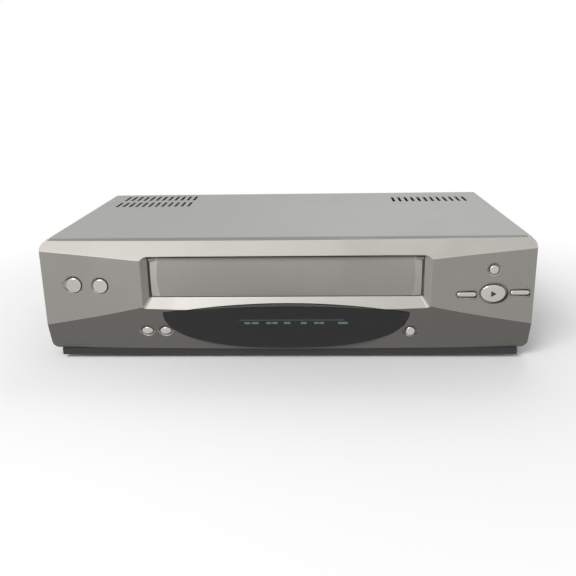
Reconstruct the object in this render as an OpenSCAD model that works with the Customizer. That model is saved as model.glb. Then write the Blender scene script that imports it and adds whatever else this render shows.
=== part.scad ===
// Front-loading video tape recorder in a low, wide case.
// X runs across the front, +X to the viewer's right, and Y runs to the back.
// Z is up from the surface that the feet stand on. All sizes are millimetres.

/* [Case] */
// Width of the case across the front
body_w = 360; // [358:1:440]
// Height of the front fascia
fascia_h = 84; // [82:1:104]
// Depth from the front face to the rear panel
body_depth = 216; // [212:1:270]
// Height of the fascia's lower edge above the surface
fascia_z = 8.5; // [7.5:0.5:14]
// Thickness of the fascia's moulded wall
fascia_wall = 2.6; // [2:0.1:3.2]
// How far the fascia's side walls reach back
fascia_depth = 22; // [20:1:26]
// Radius of the front's bow in plan
bow_r = 4000; // [3000:100:6000]
// Corner radius of the fascia seen from the front
fascia_corner = 5; // [2:0.5:8]
// Thickness of the steel cover
cover_t = 0.8; // [0.6:0.1:1.2]
// Outer bend radius of the steel cover
cover_bend = 3; // [2:0.5:6]
// Thickness of the base pan
pan_t = 1.6; // [1.2:0.1:2.4]
// How far the base pan is set in from each side of the case
pan_inset = 7.5; // [5:0.5:12]
// Height of the feet under the base pan
foot_h = 3; // [2:0.5:5]
// Radius of a foot
foot_r = 9; // [6:0.5:12]
// Thickness of the rear panel
rear_t = 1; // [0.8:0.1:1.6]

/* [Fascia facets] */
// Height of the lower crease at the middle, from the fascia's lower edge
lower_crease = 36.3; // [30:0.1:40]
// Drop of the upper crease below the fascia's top edge
upper_band = 12.3; // [8:0.1:16]
// Backward lean of the lower facet, per unit of height
lower_lean = 0.32; // [0.2:0.01:0.45]
// Backward lean of the upper facet, per unit of height
upper_lean = 0.86; // [0.5:0.01:1.2]
// Backward sweep of the face beyond the door surround, per unit of width
side_sweep = 0.1034; // [0.06:0.001:0.14]

/* [Door and display] */
// Half width of the recess round the cassette door
surround_x = 106; // [104:0.5:110]
// Lower edge of the recess, from the fascia's lower edge
surround_low = 32.8; // [30:0.1:36]
// Upper edge of the recess, from the fascia's lower edge
surround_high = 75; // [74:0.1:80]
// Depth of the recess
surround_depth = 6.2; // [5:0.1:7]
// Half width of the door opening
opening_x = 99.3; // [98:0.1:101]
// Lower edge of the door opening, from the fascia's lower edge
opening_low = 42.8; // [41:0.1:43]
// Upper edge of the door opening, from the fascia's lower edge
opening_high = 73.4; // [73:0.1:74]
// Gap round the cassette door
door_gap = 0.6; // [0.4:0.1:1]
// Thickness of the cassette door
door_t = 3; // [2.4:0.1:3.4]
// Rise of the door's bulge
door_bulge = 0.8; // [0.4:0.1:1.2]
// Radius of the arc at each end of the door's raised face
door_arc_r = 21; // [18:0.5:28]
// Inset of those arcs from the door's ends at half height
door_arc_in = 5; // [3:0.5:6]
// Radius of the door's hinge barrel
barrel_r = 1.6; // [1.4:0.1:2]
// Radius of the small pivot pins
pin_r = 1.5; // [1.2:0.1:2]
// Running clearance of a pivot in its bore
run_gap = 0.05; // [0.03:0.01:0.1]
// Half width of the smoked display window
lens_x = 90; // [84:0.5:92]
// Height of the window's tips, from the fascia's lower edge
lens_tip = 32; // [30:0.5:33]
// Rise of the window's top arc over its tips
lens_rise = 6.5; // [4:0.1:8]
// Drop of the window's lower edge below its tips
lens_drop = 30; // [26:0.5:30]
// How far the window stands proud of the face
lens_proud = 3; // [2:0.1:4]
// Wall of the window moulding
lens_wall = 2; // [1.6:0.1:2.6]
// Gap round the window in the fascia
lens_gap = 0.3; // [0.2:0.05:0.5]

/* [Buttons] */
// Travel of every front button
button_travel = 0.8; // [0.5:0.1:1]
// Gap between a button and its guide collar
button_gap = 0.3; // [0.2:0.05:0.4]
// Wall of a guide collar
collar_wall = 1.4; // [1:0.1:1.6]
// Thickness of the flange that keeps a button in
flange_t = 1; // [0.8:0.1:1.4]
// Radius of a button's pressing stem
stem_r = 1.8; // [1.4:0.1:2.2]
// Centre of the power button across, and up from the fascia's lower edge
power_at = [-155.6, 52.5];
// Centre of the eject button
eject_at = [-135.3, 52.3];
// Centre of the channel down button
channel_down_at = [-104, 16.4];
// Centre of the channel up button
channel_up_at = [-90.2, 16.4];
// Centre of the pause button
pause_at = [149.3, 62.7];
// Centre of the play button
play_at = [149.7, 45];
// Centre of the rewind button
rewind_at = [130.3, 44.8];
// Centre of the fast forward button
forward_at = [169.2, 44.8];
// Centre of the record button
record_at = [91.7, 15.6];

/* [Cassette and lift] */
// Width of a tape cassette
cassette_w = 188; // [187:0.1:189]
// Height of a tape cassette
cassette_h = 25; // [24.5:0.1:25.5]
// Side play of a cassette in its basket
cassette_play = 1.6; // [1:0.1:2]
// Height play of a cassette in its basket
cassette_rise = 0.7; // [0.5:0.1:1]
// Sheet thickness of the basket and the lift parts
sheet_t = 1.2; // [1:0.1:1.4]
// How far a cassette is drawn in
draw_in = 48; // [44:1:48]
// How far a cassette is let down
let_down = 16; // [14:0.5:16]
// Centre distance of the two reels
reel_pitch = 92.4; // [92:0.1:93]

/* [Tape deck] */
// Distance from the front face back to the deck's middle line
deck_setback = 112; // [110:1:116]
// Half width of the deck plate
deck_x = 110; // [108:0.5:112]
// Height of the deck plate's underside
deck_z = 24; // [23:0.5:25]
// Thickness of the deck plate
deck_t = 1.2; // [1:0.1:1.6]
// Radius of the video head drum
drum_r = 31; // [30.5:0.1:31]
// Tilt of the drum's axis
drum_tilt = 6; // [5:0.1:6.5]
// Distance of the drum's back edge behind the deck's middle line
drum_back = 97; // [96:0.5:98]
// Radius of the drum's shaft
drum_shaft_r = 2.5; // [2:0.1:3]
// Radius of the capstan flywheel
flywheel_r = 20; // [18:0.5:22]
// Radius of the pinch roller
pinch_r = 8; // [7:0.1:8.5]
// Radius of a reel's drive rim
reel_rim_r = 22; // [21:0.1:22.5]
// Radius of a guide roller
guide_r = 3; // [2.5:0.1:3.2]
// Travel of the two tape guides
guide_travel = 48; // [44:1:48]
// Teeth on the cam gear
cam_teeth = 42; // [36:6:42]
// Teeth on the loading pinion
pinion_teeth = 12; // [12:2:14]
// Size of one gear tooth, pitch diameter per tooth
gear_module = 0.8; // [0.75:0.01:0.82]

/* [Boards and sockets] */
// Thickness of the circuit boards
board_t = 1.6; // [1.2:0.1:2]
// Height of the main board's underside
board_z = 8.6; // [8:0.1:9]
// Outer radius of a phono jack's shell
jack_r = 4.15; // [4.1:0.01:4.2]
// How far a phono jack stands out of the rear panel
jack_out = 9; // [8:0.5:10]
// Spacing of the phono jacks
jack_pitch = 14; // [13:0.5:16]
// Outer radius of an aerial socket's thread
aerial_r = 4.76; // [4.7:0.01:4.8]
// How far an aerial socket stands out of the rear panel
aerial_out = 11; // [10:0.5:12]
// Spacing of the two aerial sockets
aerial_pitch = 18; // [16:0.5:20]
// Radius of the bush that holds the mains cord
gland_r = 6; // [5:0.5:7]
// Radius of the bush's bore for the mains cord
gland_bore_r = 3.5; // [3:0.1:4]
// Travel of the channel switch on the rear
switch_travel = 3.5; // [3:0.1:4]

/* [Hidden] */

$fn = 48;
eps = 0.01;
seat = 0.1;

half_w = body_w / 2;
total_depth = body_depth + lens_proud + aerial_out;
face_y = lens_proud - total_depth / 2;
rear_y = face_y + body_depth;
fascia_back = face_y + fascia_depth;
top_z = fascia_z + fascia_h;
cover_top = top_z - 0.5;
upper_crease = fascia_h - upper_band;
cover_front = fascia_back + 0.3;
side_in = half_w - cover_t;
pan_x = half_w - pan_inset;
pan_wall_x = side_in - 0.6;
pan_front = face_y + lower_crease * lower_lean + 2.4;
pan_ledge = fascia_z - seat;
floor_z = foot_h + pan_t;
rear_in = rear_y - rear_t;

deck_y = face_y + deck_setback;
deck_top = deck_z + deck_t;
opening_z = fascia_z + opening_low;
basket_floor = opening_z + 0.2;
basket_in = cassette_w / 2 + cassette_play;
basket_top = basket_floor + cassette_h + cassette_rise;
basket_back = -18;
basket_front = -75;
shelf_front = -97;
carriage_x = basket_in + sheet_t + 1.2;
bracket_x = carriage_x + sheet_t + 1.4;
bracket_top = basket_top + 8.8;
rail_z = basket_top + 4.8;
pin_rows = [-66, -30];
pin_z = basket_floor + 18.5;
carriage_low = pin_z - let_down - 4;

hinge_z = fascia_z + opening_high - door_gap - barrel_r;
hinge_y = face_y + surround_depth + barrel_r;
door_low = fascia_z + opening_low + door_gap;
door_end = opening_x - 0.7;
cheek_back = face_y + surround_depth + 4.6;

switch_y = fascia_back - 1.8;
switch_h = 2.6;
plunger_h = 0.9;
stem_end = switch_y - switch_h - plunger_h - button_travel - 0.3;

capstan_at = [54, 40];
clutch_at = [0, 4];
reel_y = -25;
pinch_pivot = [84, 44];
pinch_reach = 22;
pinch_rest = 156.5;
guide_x = 41;
guide_y = 18;
cam_at = [82, 78];
pitch_r = gear_module * cam_teeth / 2;
pinion_pitch_r = gear_module * pinion_teeth / 2;
pinion_at = [cam_at[0] - pitch_r - pinion_pitch_r, cam_at[1]];
wheel_z = deck_top + 1.8;
wheel_t = 3;
idler_reach = 28;
idler_r = 11;
clutch_r = idler_reach - idler_r - 0.3;
belt_z = 13.2;
belt_t = 1.5;
capstan_pulley_r = 6.2;
clutch_pulley_r = 12;
tension_pivot = [-84, 8];
tension_reach = [26, 13];
deck_posts = [[-106, -78], [106, -78], [-106, 93], [106, 93]];
board_top = board_z + board_t;
power_z = board_z + 3.4;
power_top = power_z + board_t;
power_left = -(pan_wall_x - pan_t - 1.5);
power_right = -(deck_x + 2.5);
power_mid = (power_left + power_right) / 2;
drum_y = drum_back - drum_r;
jack_x = deck_x + 2.7 + jack_pitch - 0.5;
jack_z = board_top + 10;
tuner_w = 28;
aerial_x = pan_x - pan_t - 1.3 - tuner_w / 2;
aerial_z = board_top + 22;
gland_at = [power_mid, power_top + 14];
pan_slot_x = [-150, -60, 60, 150];
side_screws = [[-60, 20], [rear_y - 22, 20]];
rear_screw_x = [-half_w + 12, 0, half_w - 12];

// ---- shared shapes ----

// Distance that the face falls back at x because of its bow
function bow(x) = bow_r - sqrt(bow_r * bow_r - x * x);

// Distance that the face falls back at x because of the swept ends
function sweep(x) = abs(x) < surround_x ? bow(x)
    : bow(surround_x) + side_sweep * (abs(x) - surround_x);

// Distance that the facets fall back at height z over the fascia's lower edge
function lean(z) = z < lower_crease ? (lower_crease - z) * lower_lean
    : z > upper_crease ? (z - upper_crease) * upper_lean : 0;

// Position of the outer face at x and height z
function face_at(x, z) = face_y + max(sweep(x), bow(x) + lean(z));

// Points of an ellipse
function oval(a, b, n) = [for (i = [0 : n - 1]) [a * cos(360 * i / n), b * sin(360 * i / n)]];

// Outline of the display window, grown by g
function lens_outline(g) = let (a = lens_x + g, n = 28) concat(
    [for (i = [-n : n]) let (u = i / n) [a * u, lens_tip + g + lens_rise * (1 - u * u)]],
    [for (i = [1 : 2 * n - 1]) let (t = 180 * i / (2 * n), c = cos(t), s = sin(t))
        [a * sign(c) * pow(abs(c), 0.8), lens_tip + g - (lens_drop + 2 * g) * pow(s, 0.8)]]);

// Outline of the belt round its two pulleys, grown by g from their grooves
function belt_outline(g) = let (
    n = 24, way = clutch_at - capstan_at, a = atan2(way[1], way[0]),
    f = acos((capstan_pulley_r - clutch_pulley_r) / norm(way))) concat(
    [for (i = [0 : n]) let (t = a + f + (360 - 2 * f) * i / n)
        capstan_at + (capstan_pulley_r + g) * [cos(t), sin(t)]],
    [for (i = [0 : n]) let (t = a - f + 2 * f * i / n)
        clutch_at + (clutch_pulley_r + g) * [cos(t), sin(t)]]);

// Box between two corners
module block(low, high) {
    translate(low) cube(high - low);
}

// Box that is copied to the other side of the middle
module both_sides() {
    children();
    mirror([1, 0, 0]) children();
}

// Upright rod
module rod(at, r, z0, z1) {
    translate([at[0], at[1], z0]) cylinder(r = r, h = z1 - z0);
}

// Rod that runs back from y0 to y1
module rod_y(x, z, r, y0, y1) {
    translate([x, y0, z]) rotate([-90, 0, 0]) cylinder(r = r, h = y1 - y0);
}

// Rod that runs across from x0 to x1
module rod_x(y, z, r, x0, x1) {
    translate([x0, y, z]) rotate([0, 90, 0]) cylinder(r = r, h = x1 - x0);
}

// Rectangle with round corners, drawn from straight pieces and full circles
module round_rect(w, h, r) {
    square([w - 2 * r, h], center = true);
    square([w, h - 2 * r], center = true);
    for (sx = [-1, 1], sy = [-1, 1])
        translate([sx * (w / 2 - r), sy * (h / 2 - r)]) circle(r = r);
}

// Slot with round ends along its first axis
module pill(l, w) {
    square([l - w, w], center = true);
    for (s = [-1, 1]) translate([s * (l - w) / 2, 0]) circle(r = w / 2);
}

// Flat shape in the X and Z plane, drawn out from y0 to y1
module slab_y(y0, y1) {
    translate([0, y1, 0]) rotate([90, 0, 0]) linear_extrude(height = y1 - y0) children();
}

// Flat shape in the Y and Z plane, drawn out from x0 to x1
module slab_x(x0, x1) {
    translate([x0, 0, 0]) rotate([90, 0, 90]) linear_extrude(height = x1 - x0) children();
}

// Everything that is placed from the deck's middle line
module on_deck() {
    translate([0, deck_y, 0]) children();
}

// Everything that turns about the tilted axis of the drum
module on_drum() {
    translate([0, deck_y + drum_y, deck_top + 14])
        rotate([-drum_tilt, 0, 0]) translate([0, 0, -deck_top - 14]) children();
}

// Local frame on the outer face, with its -Y pointing out of the face
module on_face(at) {
    swept = abs(at[0]) > surround_x && sweep(at[0]) > bow(at[0]) + lean(at[1]);
    turn = swept ? sign(at[0]) * atan(side_sweep) : 0;
    tip = swept ? 0 : atan(lean(at[1]) > 0 ? lower_lean : 0);
    translate([at[0], face_at(at[0], at[1]), fascia_z + at[1]])
        rotate([tip, 0, turn]) children();
}

// Straight toothed wheel; the flanks are cut thin for backlash
module toothed(teeth, m, thick) {
    pr = m * teeth / 2;
    step = 360 / teeth;
    linear_extrude(height = thick) polygon([for (i = [0 : teeth - 1], k = [0 : 3])
        let (r = (k == 0 || k == 3) ? pr - 1.1 * m : pr + 0.85 * m,
             a = step * (i + [-0.3, -0.1, 0.1, 0.3][k]))
        [r * cos(a), r * sin(a)]]);
}

// ---- fascia ----

// Bowed block whose section is given as [set-back, height] points
module bowed(section) {
    half = asin(half_w / bow_r) + 0.3;
    translate([0, face_y + bow_r, fascia_z]) rotate([0, 0, -90 - half])
        rotate_extrude(angle = 2 * half, $fn = 3600)
            polygon([for (p = section) [bow_r - p[0], p[1]]]);
}

// Outer form of the fascia, moved in by g on every side and open to the back past y1
module fascia_form(g, y1) {
    back = y1 - face_y;
    tan_front = bow(surround_x) - surround_x * surround_x / bow_r;
    intersection() {
        bowed([[back + 10, g], [lean(0) + g, g], [g, lower_crease], [g, upper_crease],
            [lean(fascia_h) + g, fascia_h - g], [back + 10, fascia_h - g]]);
        translate([0, face_y, 0]) linear_extrude(height = top_z + 10) polygon([
            [-half_w + g, back], [-half_w + g, sweep(half_w) + g],
            [-surround_x, bow(surround_x) + g], [0, tan_front + g],
            [surround_x, bow(surround_x) + g],
            [half_w - g, sweep(half_w) + g], [half_w - g, back]]);
        translate([0, 0, fascia_z + fascia_h / 2]) slab_y(face_y - 10, y1 + 10)
            round_rect(body_w - 2 * g, fascia_h - 2 * g, max(fascia_corner - g, 0.5));
    }
}

// Tapered recess that leads the eye from the face to the cassette door
module surround_recess() {
    deep = face_y + surround_depth;
    ahead = 5;
    k = (surround_depth + ahead) / surround_depth;
    grow_x = (surround_x - opening_x) * k;
    grow_low = (opening_low - surround_low) * k;
    grow_high = (surround_high - opening_high) * k;
    hull() {
        for (s = [-1, 1]) {
            rod_y(s * (opening_x - 2), fascia_z + opening_low + 2, 2, deep, deep + eps, $fn = 32);
            rod_y(s * (opening_x - 2), fascia_z + opening_high - 2, 2, deep, deep + eps, $fn = 32);
            rod_y(s * (opening_x + grow_x - 4), fascia_z + opening_low - grow_low + 4, 4,
                deep - surround_depth - ahead, deep - surround_depth - ahead + eps, $fn = 32);
            rod_y(s * (opening_x + grow_x - 3), fascia_z + opening_high + grow_high - 3, 3,
                deep - surround_depth - ahead, deep - surround_depth - ahead + eps, $fn = 32);
        }
    }
}

// Depth that a guide collar reaches behind the face
function collar_back(at) = face_at(at[0], at[1]) + (at[1] < lower_crease ? 4.5 : 4.9);

// Where each button sits, its cap's half sizes and the half sizes of its dish
round_buttons = [
    [power_at, 5.5, 6.7], [eject_at, 5.2, 6.4], [pause_at, 3.2, 4.9], [record_at, 3.2, 5]];
oval_buttons = [
    [channel_down_at, [4.3, 2.75], 4.9], [channel_up_at, [4.3, 2.75], 4.9],
    [play_at, [9.2, 6.45], 0]];
pill_buttons = [[rewind_at, 13.5, 3.4], [forward_at, 13.5, 3.4]];

// Guide collars behind the button holes
module collars() {
    for (b = round_buttons)
        rod_y(b[0][0], fascia_z + b[0][1], b[1] + button_gap + collar_wall,
            face_at(b[0][0], b[0][1]), collar_back(b[0]));
    for (b = oval_buttons)
        translate([b[0][0], 0, fascia_z + b[0][1]])
            slab_y(face_at(b[0][0], b[0][1]), collar_back(b[0]))
                polygon(oval(b[1][0] + button_gap + collar_wall,
                    b[1][1] + button_gap + collar_wall, 48));
    for (b = pill_buttons)
        translate([b[0][0], 0, fascia_z + b[0][1]])
            slab_y(face_at(b[0][0], b[0][1]), collar_back(b[0]))
                pill(b[1] + 2 * (button_gap + 0.9), b[2] + 2 * (button_gap + collar_wall));
}

// Holes and dishes of the buttons
module button_cuts() {
    front = face_y - 5;
    for (b = round_buttons) {
        rod_y(b[0][0], fascia_z + b[0][1], b[1] + button_gap, front, fascia_back);
        on_face(b[0]) rotate([90, 0, 0])
            translate([0, 0, -1.2]) cylinder(r1 = b[2] - 1, r2 = b[2] + 2.4, h = 4);
    }
    on_face(power_at) slab_y(-3, 0.5) intersection() {
        translate([0, -5.3]) circle(r = 11);
        translate([0, 5.3]) circle(r = 11);
    }
    on_face(record_at) slab_y(-3, 0.6) intersection() {
        translate([0, -1.9]) circle(r = 6.4);
        translate([0, 1.9]) circle(r = 6.4);
    }
    for (b = oval_buttons) {
        translate([b[0][0], 0, fascia_z + b[0][1]]) slab_y(front, fascia_back)
            polygon(oval(b[1][0] + button_gap, b[1][1] + button_gap, 48));
        if (b[2] > 0) on_face(b[0]) rotate([90, 0, 0])
            translate([0, 0, -1]) cylinder(r1 = b[2] - 0.4, r2 = b[2] + 1.8, h = 3);
    }
    on_face(play_at) slab_y(-3, 1) polygon(oval(10.75, 8, 48));
    for (b = pill_buttons) {
        translate([b[0][0], 0, fascia_z + b[0][1]]) slab_y(front, fascia_back)
            pill(b[1] + 2 * button_gap, b[2] + 2 * button_gap);
        on_face(b[0]) slab_y(-3, 0.8) pill(b[1] + 2.6, b[2] + 2.1);
    }
}

// Posts on the fascia that carry the front boards
board_posts = [[-168, 38.5], [-118, 38.5], [-168, 66], [-118, 66],
    [118, 38.2], [171, 34], [118, 70], [171, 70],
    [-109, 6.8], [109, 6.8], [-70, 6.8], [70, 6.8]];
module fascia_posts() {
    for (p = board_posts)
        rod_y(p[0], fascia_z + p[1], 2.4, face_at(p[0], p[1]) + 1, switch_y);
}

module front_fascia() {
    color([0.62, 0.61, 0.58]) difference() {
        union() {
            difference() {
                fascia_form(0, fascia_back);
                fascia_form(fascia_wall, fascia_back + 5);
            }
            intersection() {
                fascia_form(0, fascia_back);
                block([-surround_x - 2, face_y - 5, fascia_z + surround_low - 1.5],
                    [surround_x + 2, cheek_back, fascia_z + surround_high + 2]);
            }
            collars();
            intersection() {
                fascia_form(0, fascia_back);
                fascia_posts();
            }
            for (x = pan_slot_x)
                block([x - 6, fascia_back - 4, fascia_z + fascia_wall - seat],
                    [x + 6, fascia_back + 3.5, fascia_z + fascia_wall + 1.7]);
        }
        surround_recess();
        block([-opening_x, face_y - 5, fascia_z + opening_low],
            [opening_x, cheek_back + 1, fascia_z + opening_high]);
        slab_y(face_y - 8, cheek_back + 12)
            translate([0, fascia_z]) polygon(lens_outline(lens_gap));
        button_cuts();
        both_sides() rod_x(hinge_y, hinge_z, pin_r + run_gap, opening_x - 1, opening_x + 5);
        rod_x(hinge_y, hinge_z, pin_r + run_gap, -opening_x - 12, -opening_x + 1);
        block([-surround_x - 3, hinge_y - 3.4, hinge_z - 3.6],
            [-opening_x - 4.6, cheek_back + 1, hinge_z + 3.6]);
    }
}

// ---- cassette door ----

module cassette_door() {
    mid = (door_low + hinge_z + barrel_r) / 2;
    half_h = (hinge_z + barrel_r - door_low) / 2;
    bulge_r = (half_h * half_h + door_bulge * door_bulge) / (2 * door_bulge);
    front = hinge_y - barrel_r;
    arc_x = door_end - door_arc_in - door_arc_r;
    slope = 4;
    color([0.7, 0.69, 0.66]) {
        intersection() {
            union() {
                rod_x(front - door_bulge + bulge_r, mid, bulge_r, -door_end, door_end, $fn = 360);
                rod_x(hinge_y, hinge_z, barrel_r, -door_end, door_end);
            }
            block([-door_end, front - 5, door_low],
                [door_end, front - door_bulge + door_t, hinge_z + barrel_r]);
            union() {
                block([-arc_x, front - 5, door_low - 1], [arc_x, front + 9, hinge_z + 5]);
                both_sides() translate([arc_x, front - door_bulge - 2, mid]) rotate([-90, 0, 0])
                    cylinder(r1 = door_arc_r - 2 * slope, r2 = door_arc_r + 8 * slope, h = 10, $fn = 96);
            }
        }
        rod_x(hinge_y, hinge_z, barrel_r, -door_end, door_end);
        rod_x(hinge_y, hinge_z, pin_r, door_end - 1, door_end + 5);
        rod_x(hinge_y, hinge_z, pin_r, -door_end - 11.2, -door_end + 1);
    }
}

// One wire coil about the door's pin, with a leg that rests on the fascia
spring_turns = 3.75;
spring_r = 2.25;
spring_wire = 0.35;
module door_spring() {
    x0 = -opening_x - 5.4;
    steps = 16;
    n = spring_turns * steps;
    pitch = 1.15;
    sides = 6;
    end_x = x0 - pitch * n / steps;
    path = concat(
        [for (i = [0 : n]) let (a = -360 * i / steps)
            [x0 - pitch * i / steps, spring_r * cos(a), spring_r * sin(a)]],
        [[end_x, 2.4, spring_r], [end_x, 6, spring_r]]);
    rings = [for (i = [0 : len(path) - 1]) let (
        back = path[max(i - 1, 0)], ahead = path[min(i + 1, len(path) - 1)],
        d = (ahead - back) / norm(ahead - back), u = [1, 0, 0] - d * d[0],
        e = u / norm(u), f = cross(d, e))
        for (k = [0 : sides - 1]) path[i]
            + spring_wire * (cos(360 * k / sides) * e + sin(360 * k / sides) * f)];
    count = len(path);
    color([0.75, 0.75, 0.77]) translate([0, hinge_y, hinge_z])
        polyhedron(points = rings, faces = concat(
            [[for (k = [sides - 1 : -1 : 0]) k]],
            [[for (k = [0 : sides - 1]) (count - 1) * sides + k]],
            [for (i = [0 : count - 2], k = [0 : sides - 1], h = [0, 1])
                let (a = i * sides + k, b = i * sides + (k + 1) % sides)
                h == 0 ? [a, b, a + sides] : [b, b + sides, a + sides]]));
}

// ---- display window ----

module display_lens() {
    lens_r = 900;
    back = face_y + lower_crease * lower_lean + 2.6;
    color([0.12, 0.12, 0.12]) difference() {
        intersection() {
            slab_y(face_y - lens_proud - 1, back)
                translate([0, fascia_z]) polygon(lens_outline(0));
            lens_body(lens_r, 0);
        }
        intersection() {
            slab_y(face_y - lens_proud - 1, back + 1)
                translate([0, fascia_z]) polygon(lens_outline(-lens_wall));
            lens_body(lens_r, lens_wall);
        }
    }
}

// Bowed block behind the window's front surface, moved in by g
module lens_body(r, g) {
    half = asin(lens_x / r) + 1;
    front = face_y - lens_proud + g;
    high = lens_tip + lens_rise + 2;
    translate([0, front + r, fascia_z]) rotate([0, 0, -90 - half])
        rotate_extrude(angle = 2 * half, $fn = 1800)
            polygon([[r - 40, 0], [r - lean(0), 0], [r, lower_crease], [r, high], [r - 40, high]]);
}

// ---- buttons ----

// Stem and pressing end behind a button's flange
module stem(at) {
    rod_y(at[0], fascia_z + at[1], stem_r, collar_back(at) + 0.3, stem_end);
}

// Round button with a domed cap
module round_button(b, proud) {
    front = face_at(b[0][0], b[0][1]) - proud;
    dome = b[1] * 2.2;
    z = fascia_z + b[0][1];
    color([0.74, 0.73, 0.7]) {
        intersection() {
            rod_y(b[0][0], z, b[1], front, collar_back(b[0]) + 0.3 + flange_t);
            translate([b[0][0], front + dome, z]) rotate([90, 0, 0]) union() {
                sphere(r = dome, $fn = 96);
                cylinder(r = b[1] + 1, h = 40, center = true);
                translate([0, 0, -40]) cylinder(r = b[1] + 1, h = 40);
            }
        }
        rod_y(b[0][0], z, b[1] + button_gap + collar_wall,
            collar_back(b[0]) + 0.3, collar_back(b[0]) + 0.3 + flange_t);
        stem(b[0]);
    }
}

// Oval button with a domed cap
module oval_button(b, proud) {
    front = face_at(b[0][0], b[0][1]) - proud;
    dome = b[1][0] * 2.4;
    edge = dome - sqrt(dome * dome - b[1][0] * b[1][0]) + 0.1;
    z = fascia_z + b[0][1];
    color([0.74, 0.73, 0.7]) {
        intersection() {
            translate([b[0][0], 0, z]) slab_y(front, front + edge + 1)
                polygon(oval(b[1][0], b[1][1], 48));
            translate([b[0][0], front + dome, z]) sphere(r = dome, $fn = 96);
        }
        translate([b[0][0], 0, z]) slab_y(front + edge, collar_back(b[0]) + 0.3 + flange_t)
            polygon(oval(b[1][0], b[1][1], 48));
        translate([b[0][0], 0, z])
            slab_y(collar_back(b[0]) + 0.3, collar_back(b[0]) + 0.3 + flange_t)
                polygon(oval(b[1][0] + button_gap + collar_wall,
                    b[1][1] + button_gap + collar_wall, 48));
        stem(b[0]);
    }
}

// Pill-shaped button with a crowned cap
module pill_button(b, proud) {
    front = face_at(b[0][0], b[0][1]) - proud;
    crown = 4;
    z = fascia_z + b[0][1];
    color([0.74, 0.73, 0.7]) {
        intersection() {
            translate([b[0][0], 0, z]) slab_y(front, collar_back(b[0]) + 0.3 + flange_t)
                pill(b[1], b[2]);
            union() {
                rod_x(front + crown, z, crown, b[0][0] - b[1], b[0][0] + b[1]);
                block([b[0][0] - 20, front + crown, z - 20], [b[0][0] + 20, front + 60, z + 20]);
            }
        }
        translate([b[0][0], 0, z])
            slab_y(collar_back(b[0]) + 0.3, collar_back(b[0]) + 0.3 + flange_t)
                pill(b[1] + 0.4, b[2] + 2 * (button_gap + collar_wall));
        stem(b[0]);
    }
}

module power_button() { round_button(round_buttons[0], 1.4); }
module eject_button() { round_button(round_buttons[1], 1.4); }
module pause_button() { round_button(round_buttons[2], 1); }
module record_button() { round_button(round_buttons[3], 0.8); }
module channel_down_button() { oval_button(oval_buttons[0], 0.6); }
module channel_up_button() { oval_button(oval_buttons[1], 0.6); }
module play_button() { oval_button(oval_buttons[2], 2.2); }
module rewind_button() { pill_button(pill_buttons[0], 1); }
module fast_forward_button() { pill_button(pill_buttons[1], 1); }

// ---- front boards ----

// Small push switch on the front of a board
module push_switch(at) {
    z = fascia_z + at[1];
    block([at[0] - 3, switch_y - switch_h, z - 3], [at[0] + 3, switch_y, z + 3]);
    rod_y(at[0], z, 1.7, switch_y - switch_h - plunger_h, switch_y - switch_h);
}

// Upright board between two corners, given across and up from the fascia's lower edge
module front_board(low, high) {
    block([low[0], switch_y, fascia_z + low[1]], [high[0], switch_y + board_t, fascia_z + high[1]]);
}

module left_switch_board() {
    color([0.55, 0.45, 0.25]) {
        front_board([-172, 35], [-114, 69.5]);
        push_switch(power_at);
        push_switch(eject_at);
    }
}

module right_switch_board() {
    color([0.55, 0.45, 0.25]) {
        front_board([114, 31], [174.5, 73.5]);
        for (at = [pause_at, play_at, rewind_at, forward_at]) push_switch(at);
    }
}

display_high = 24.6;
module display_board() {
    color([0.1, 0.35, 0.2]) {
        front_board([-112, 5], [112, display_high]);
        for (at = [channel_down_at, channel_up_at, record_at]) push_switch(at);
    }
}

module fluorescent_display() {
    y1 = switch_y;
    color([0.18, 0.22, 0.22]) {
        block([-46, y1 - 9, fascia_z + 8], [52, y1 - 3.4, fascia_z + display_high + 0.4]);
        for (x = [-40 : 8 : 46])
            block([x - 0.3, y1 - 3.5, fascia_z + 9.4], [x + 0.3, y1, fascia_z + 10]);
    }
}

module infrared_receiver() {
    color([0.15, 0.1, 0.12]) {
        block([-63, switch_y - 5.6, fascia_z + 12], [-56, switch_y, fascia_z + 21]);
        translate([-59.5, switch_y - 5.6, fascia_z + 16.5]) sphere(r = 2.4);
    }
}

module ribbon_cable() {
    x0 = 22;
    x1 = 44;
    y0 = switch_y + board_t;
    thick = 0.5;
    low = board_top + 5.4;
    color([0.85, 0.85, 0.8]) {
        block([x0 - 1, y0, fascia_z + 12], [x1 + 1, y0 + 3, fascia_z + 16]);
        block([x0 - 1, y0 + 9.4, board_top], [x1 + 1, y0 + 14.4, low]);
        slab_x(x0, x1) polygon(concat(
            [for (i = [0 : 12]) let (a = 7.5 * i)
                [y0 + 3 + 9 * sin(a), fascia_z + 14 + thick / 2 - 9 + 9 * cos(a)]],
            [[y0 + 12, low]], [[y0 + 12 - thick, low]],
            [for (i = [12 : -1 : 0]) let (a = 7.5 * i)
                [y0 + 3 + (9 - thick) * sin(a),
                 fascia_z + 14 + thick / 2 - 9 + (9 - thick) * cos(a)]]));
    }
}

// ---- cover, base pan, feet, rear panel ----

// Row of rounded slots
module slot_row(count, step, l, w) {
    for (i = [0 : count - 1]) translate([(i - (count - 1) / 2) * step, 0]) pill2(w, l);
}

// Rounded slot along its second axis
module pill2(w, l) {
    rotate(90) pill(l, w);
}

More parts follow.
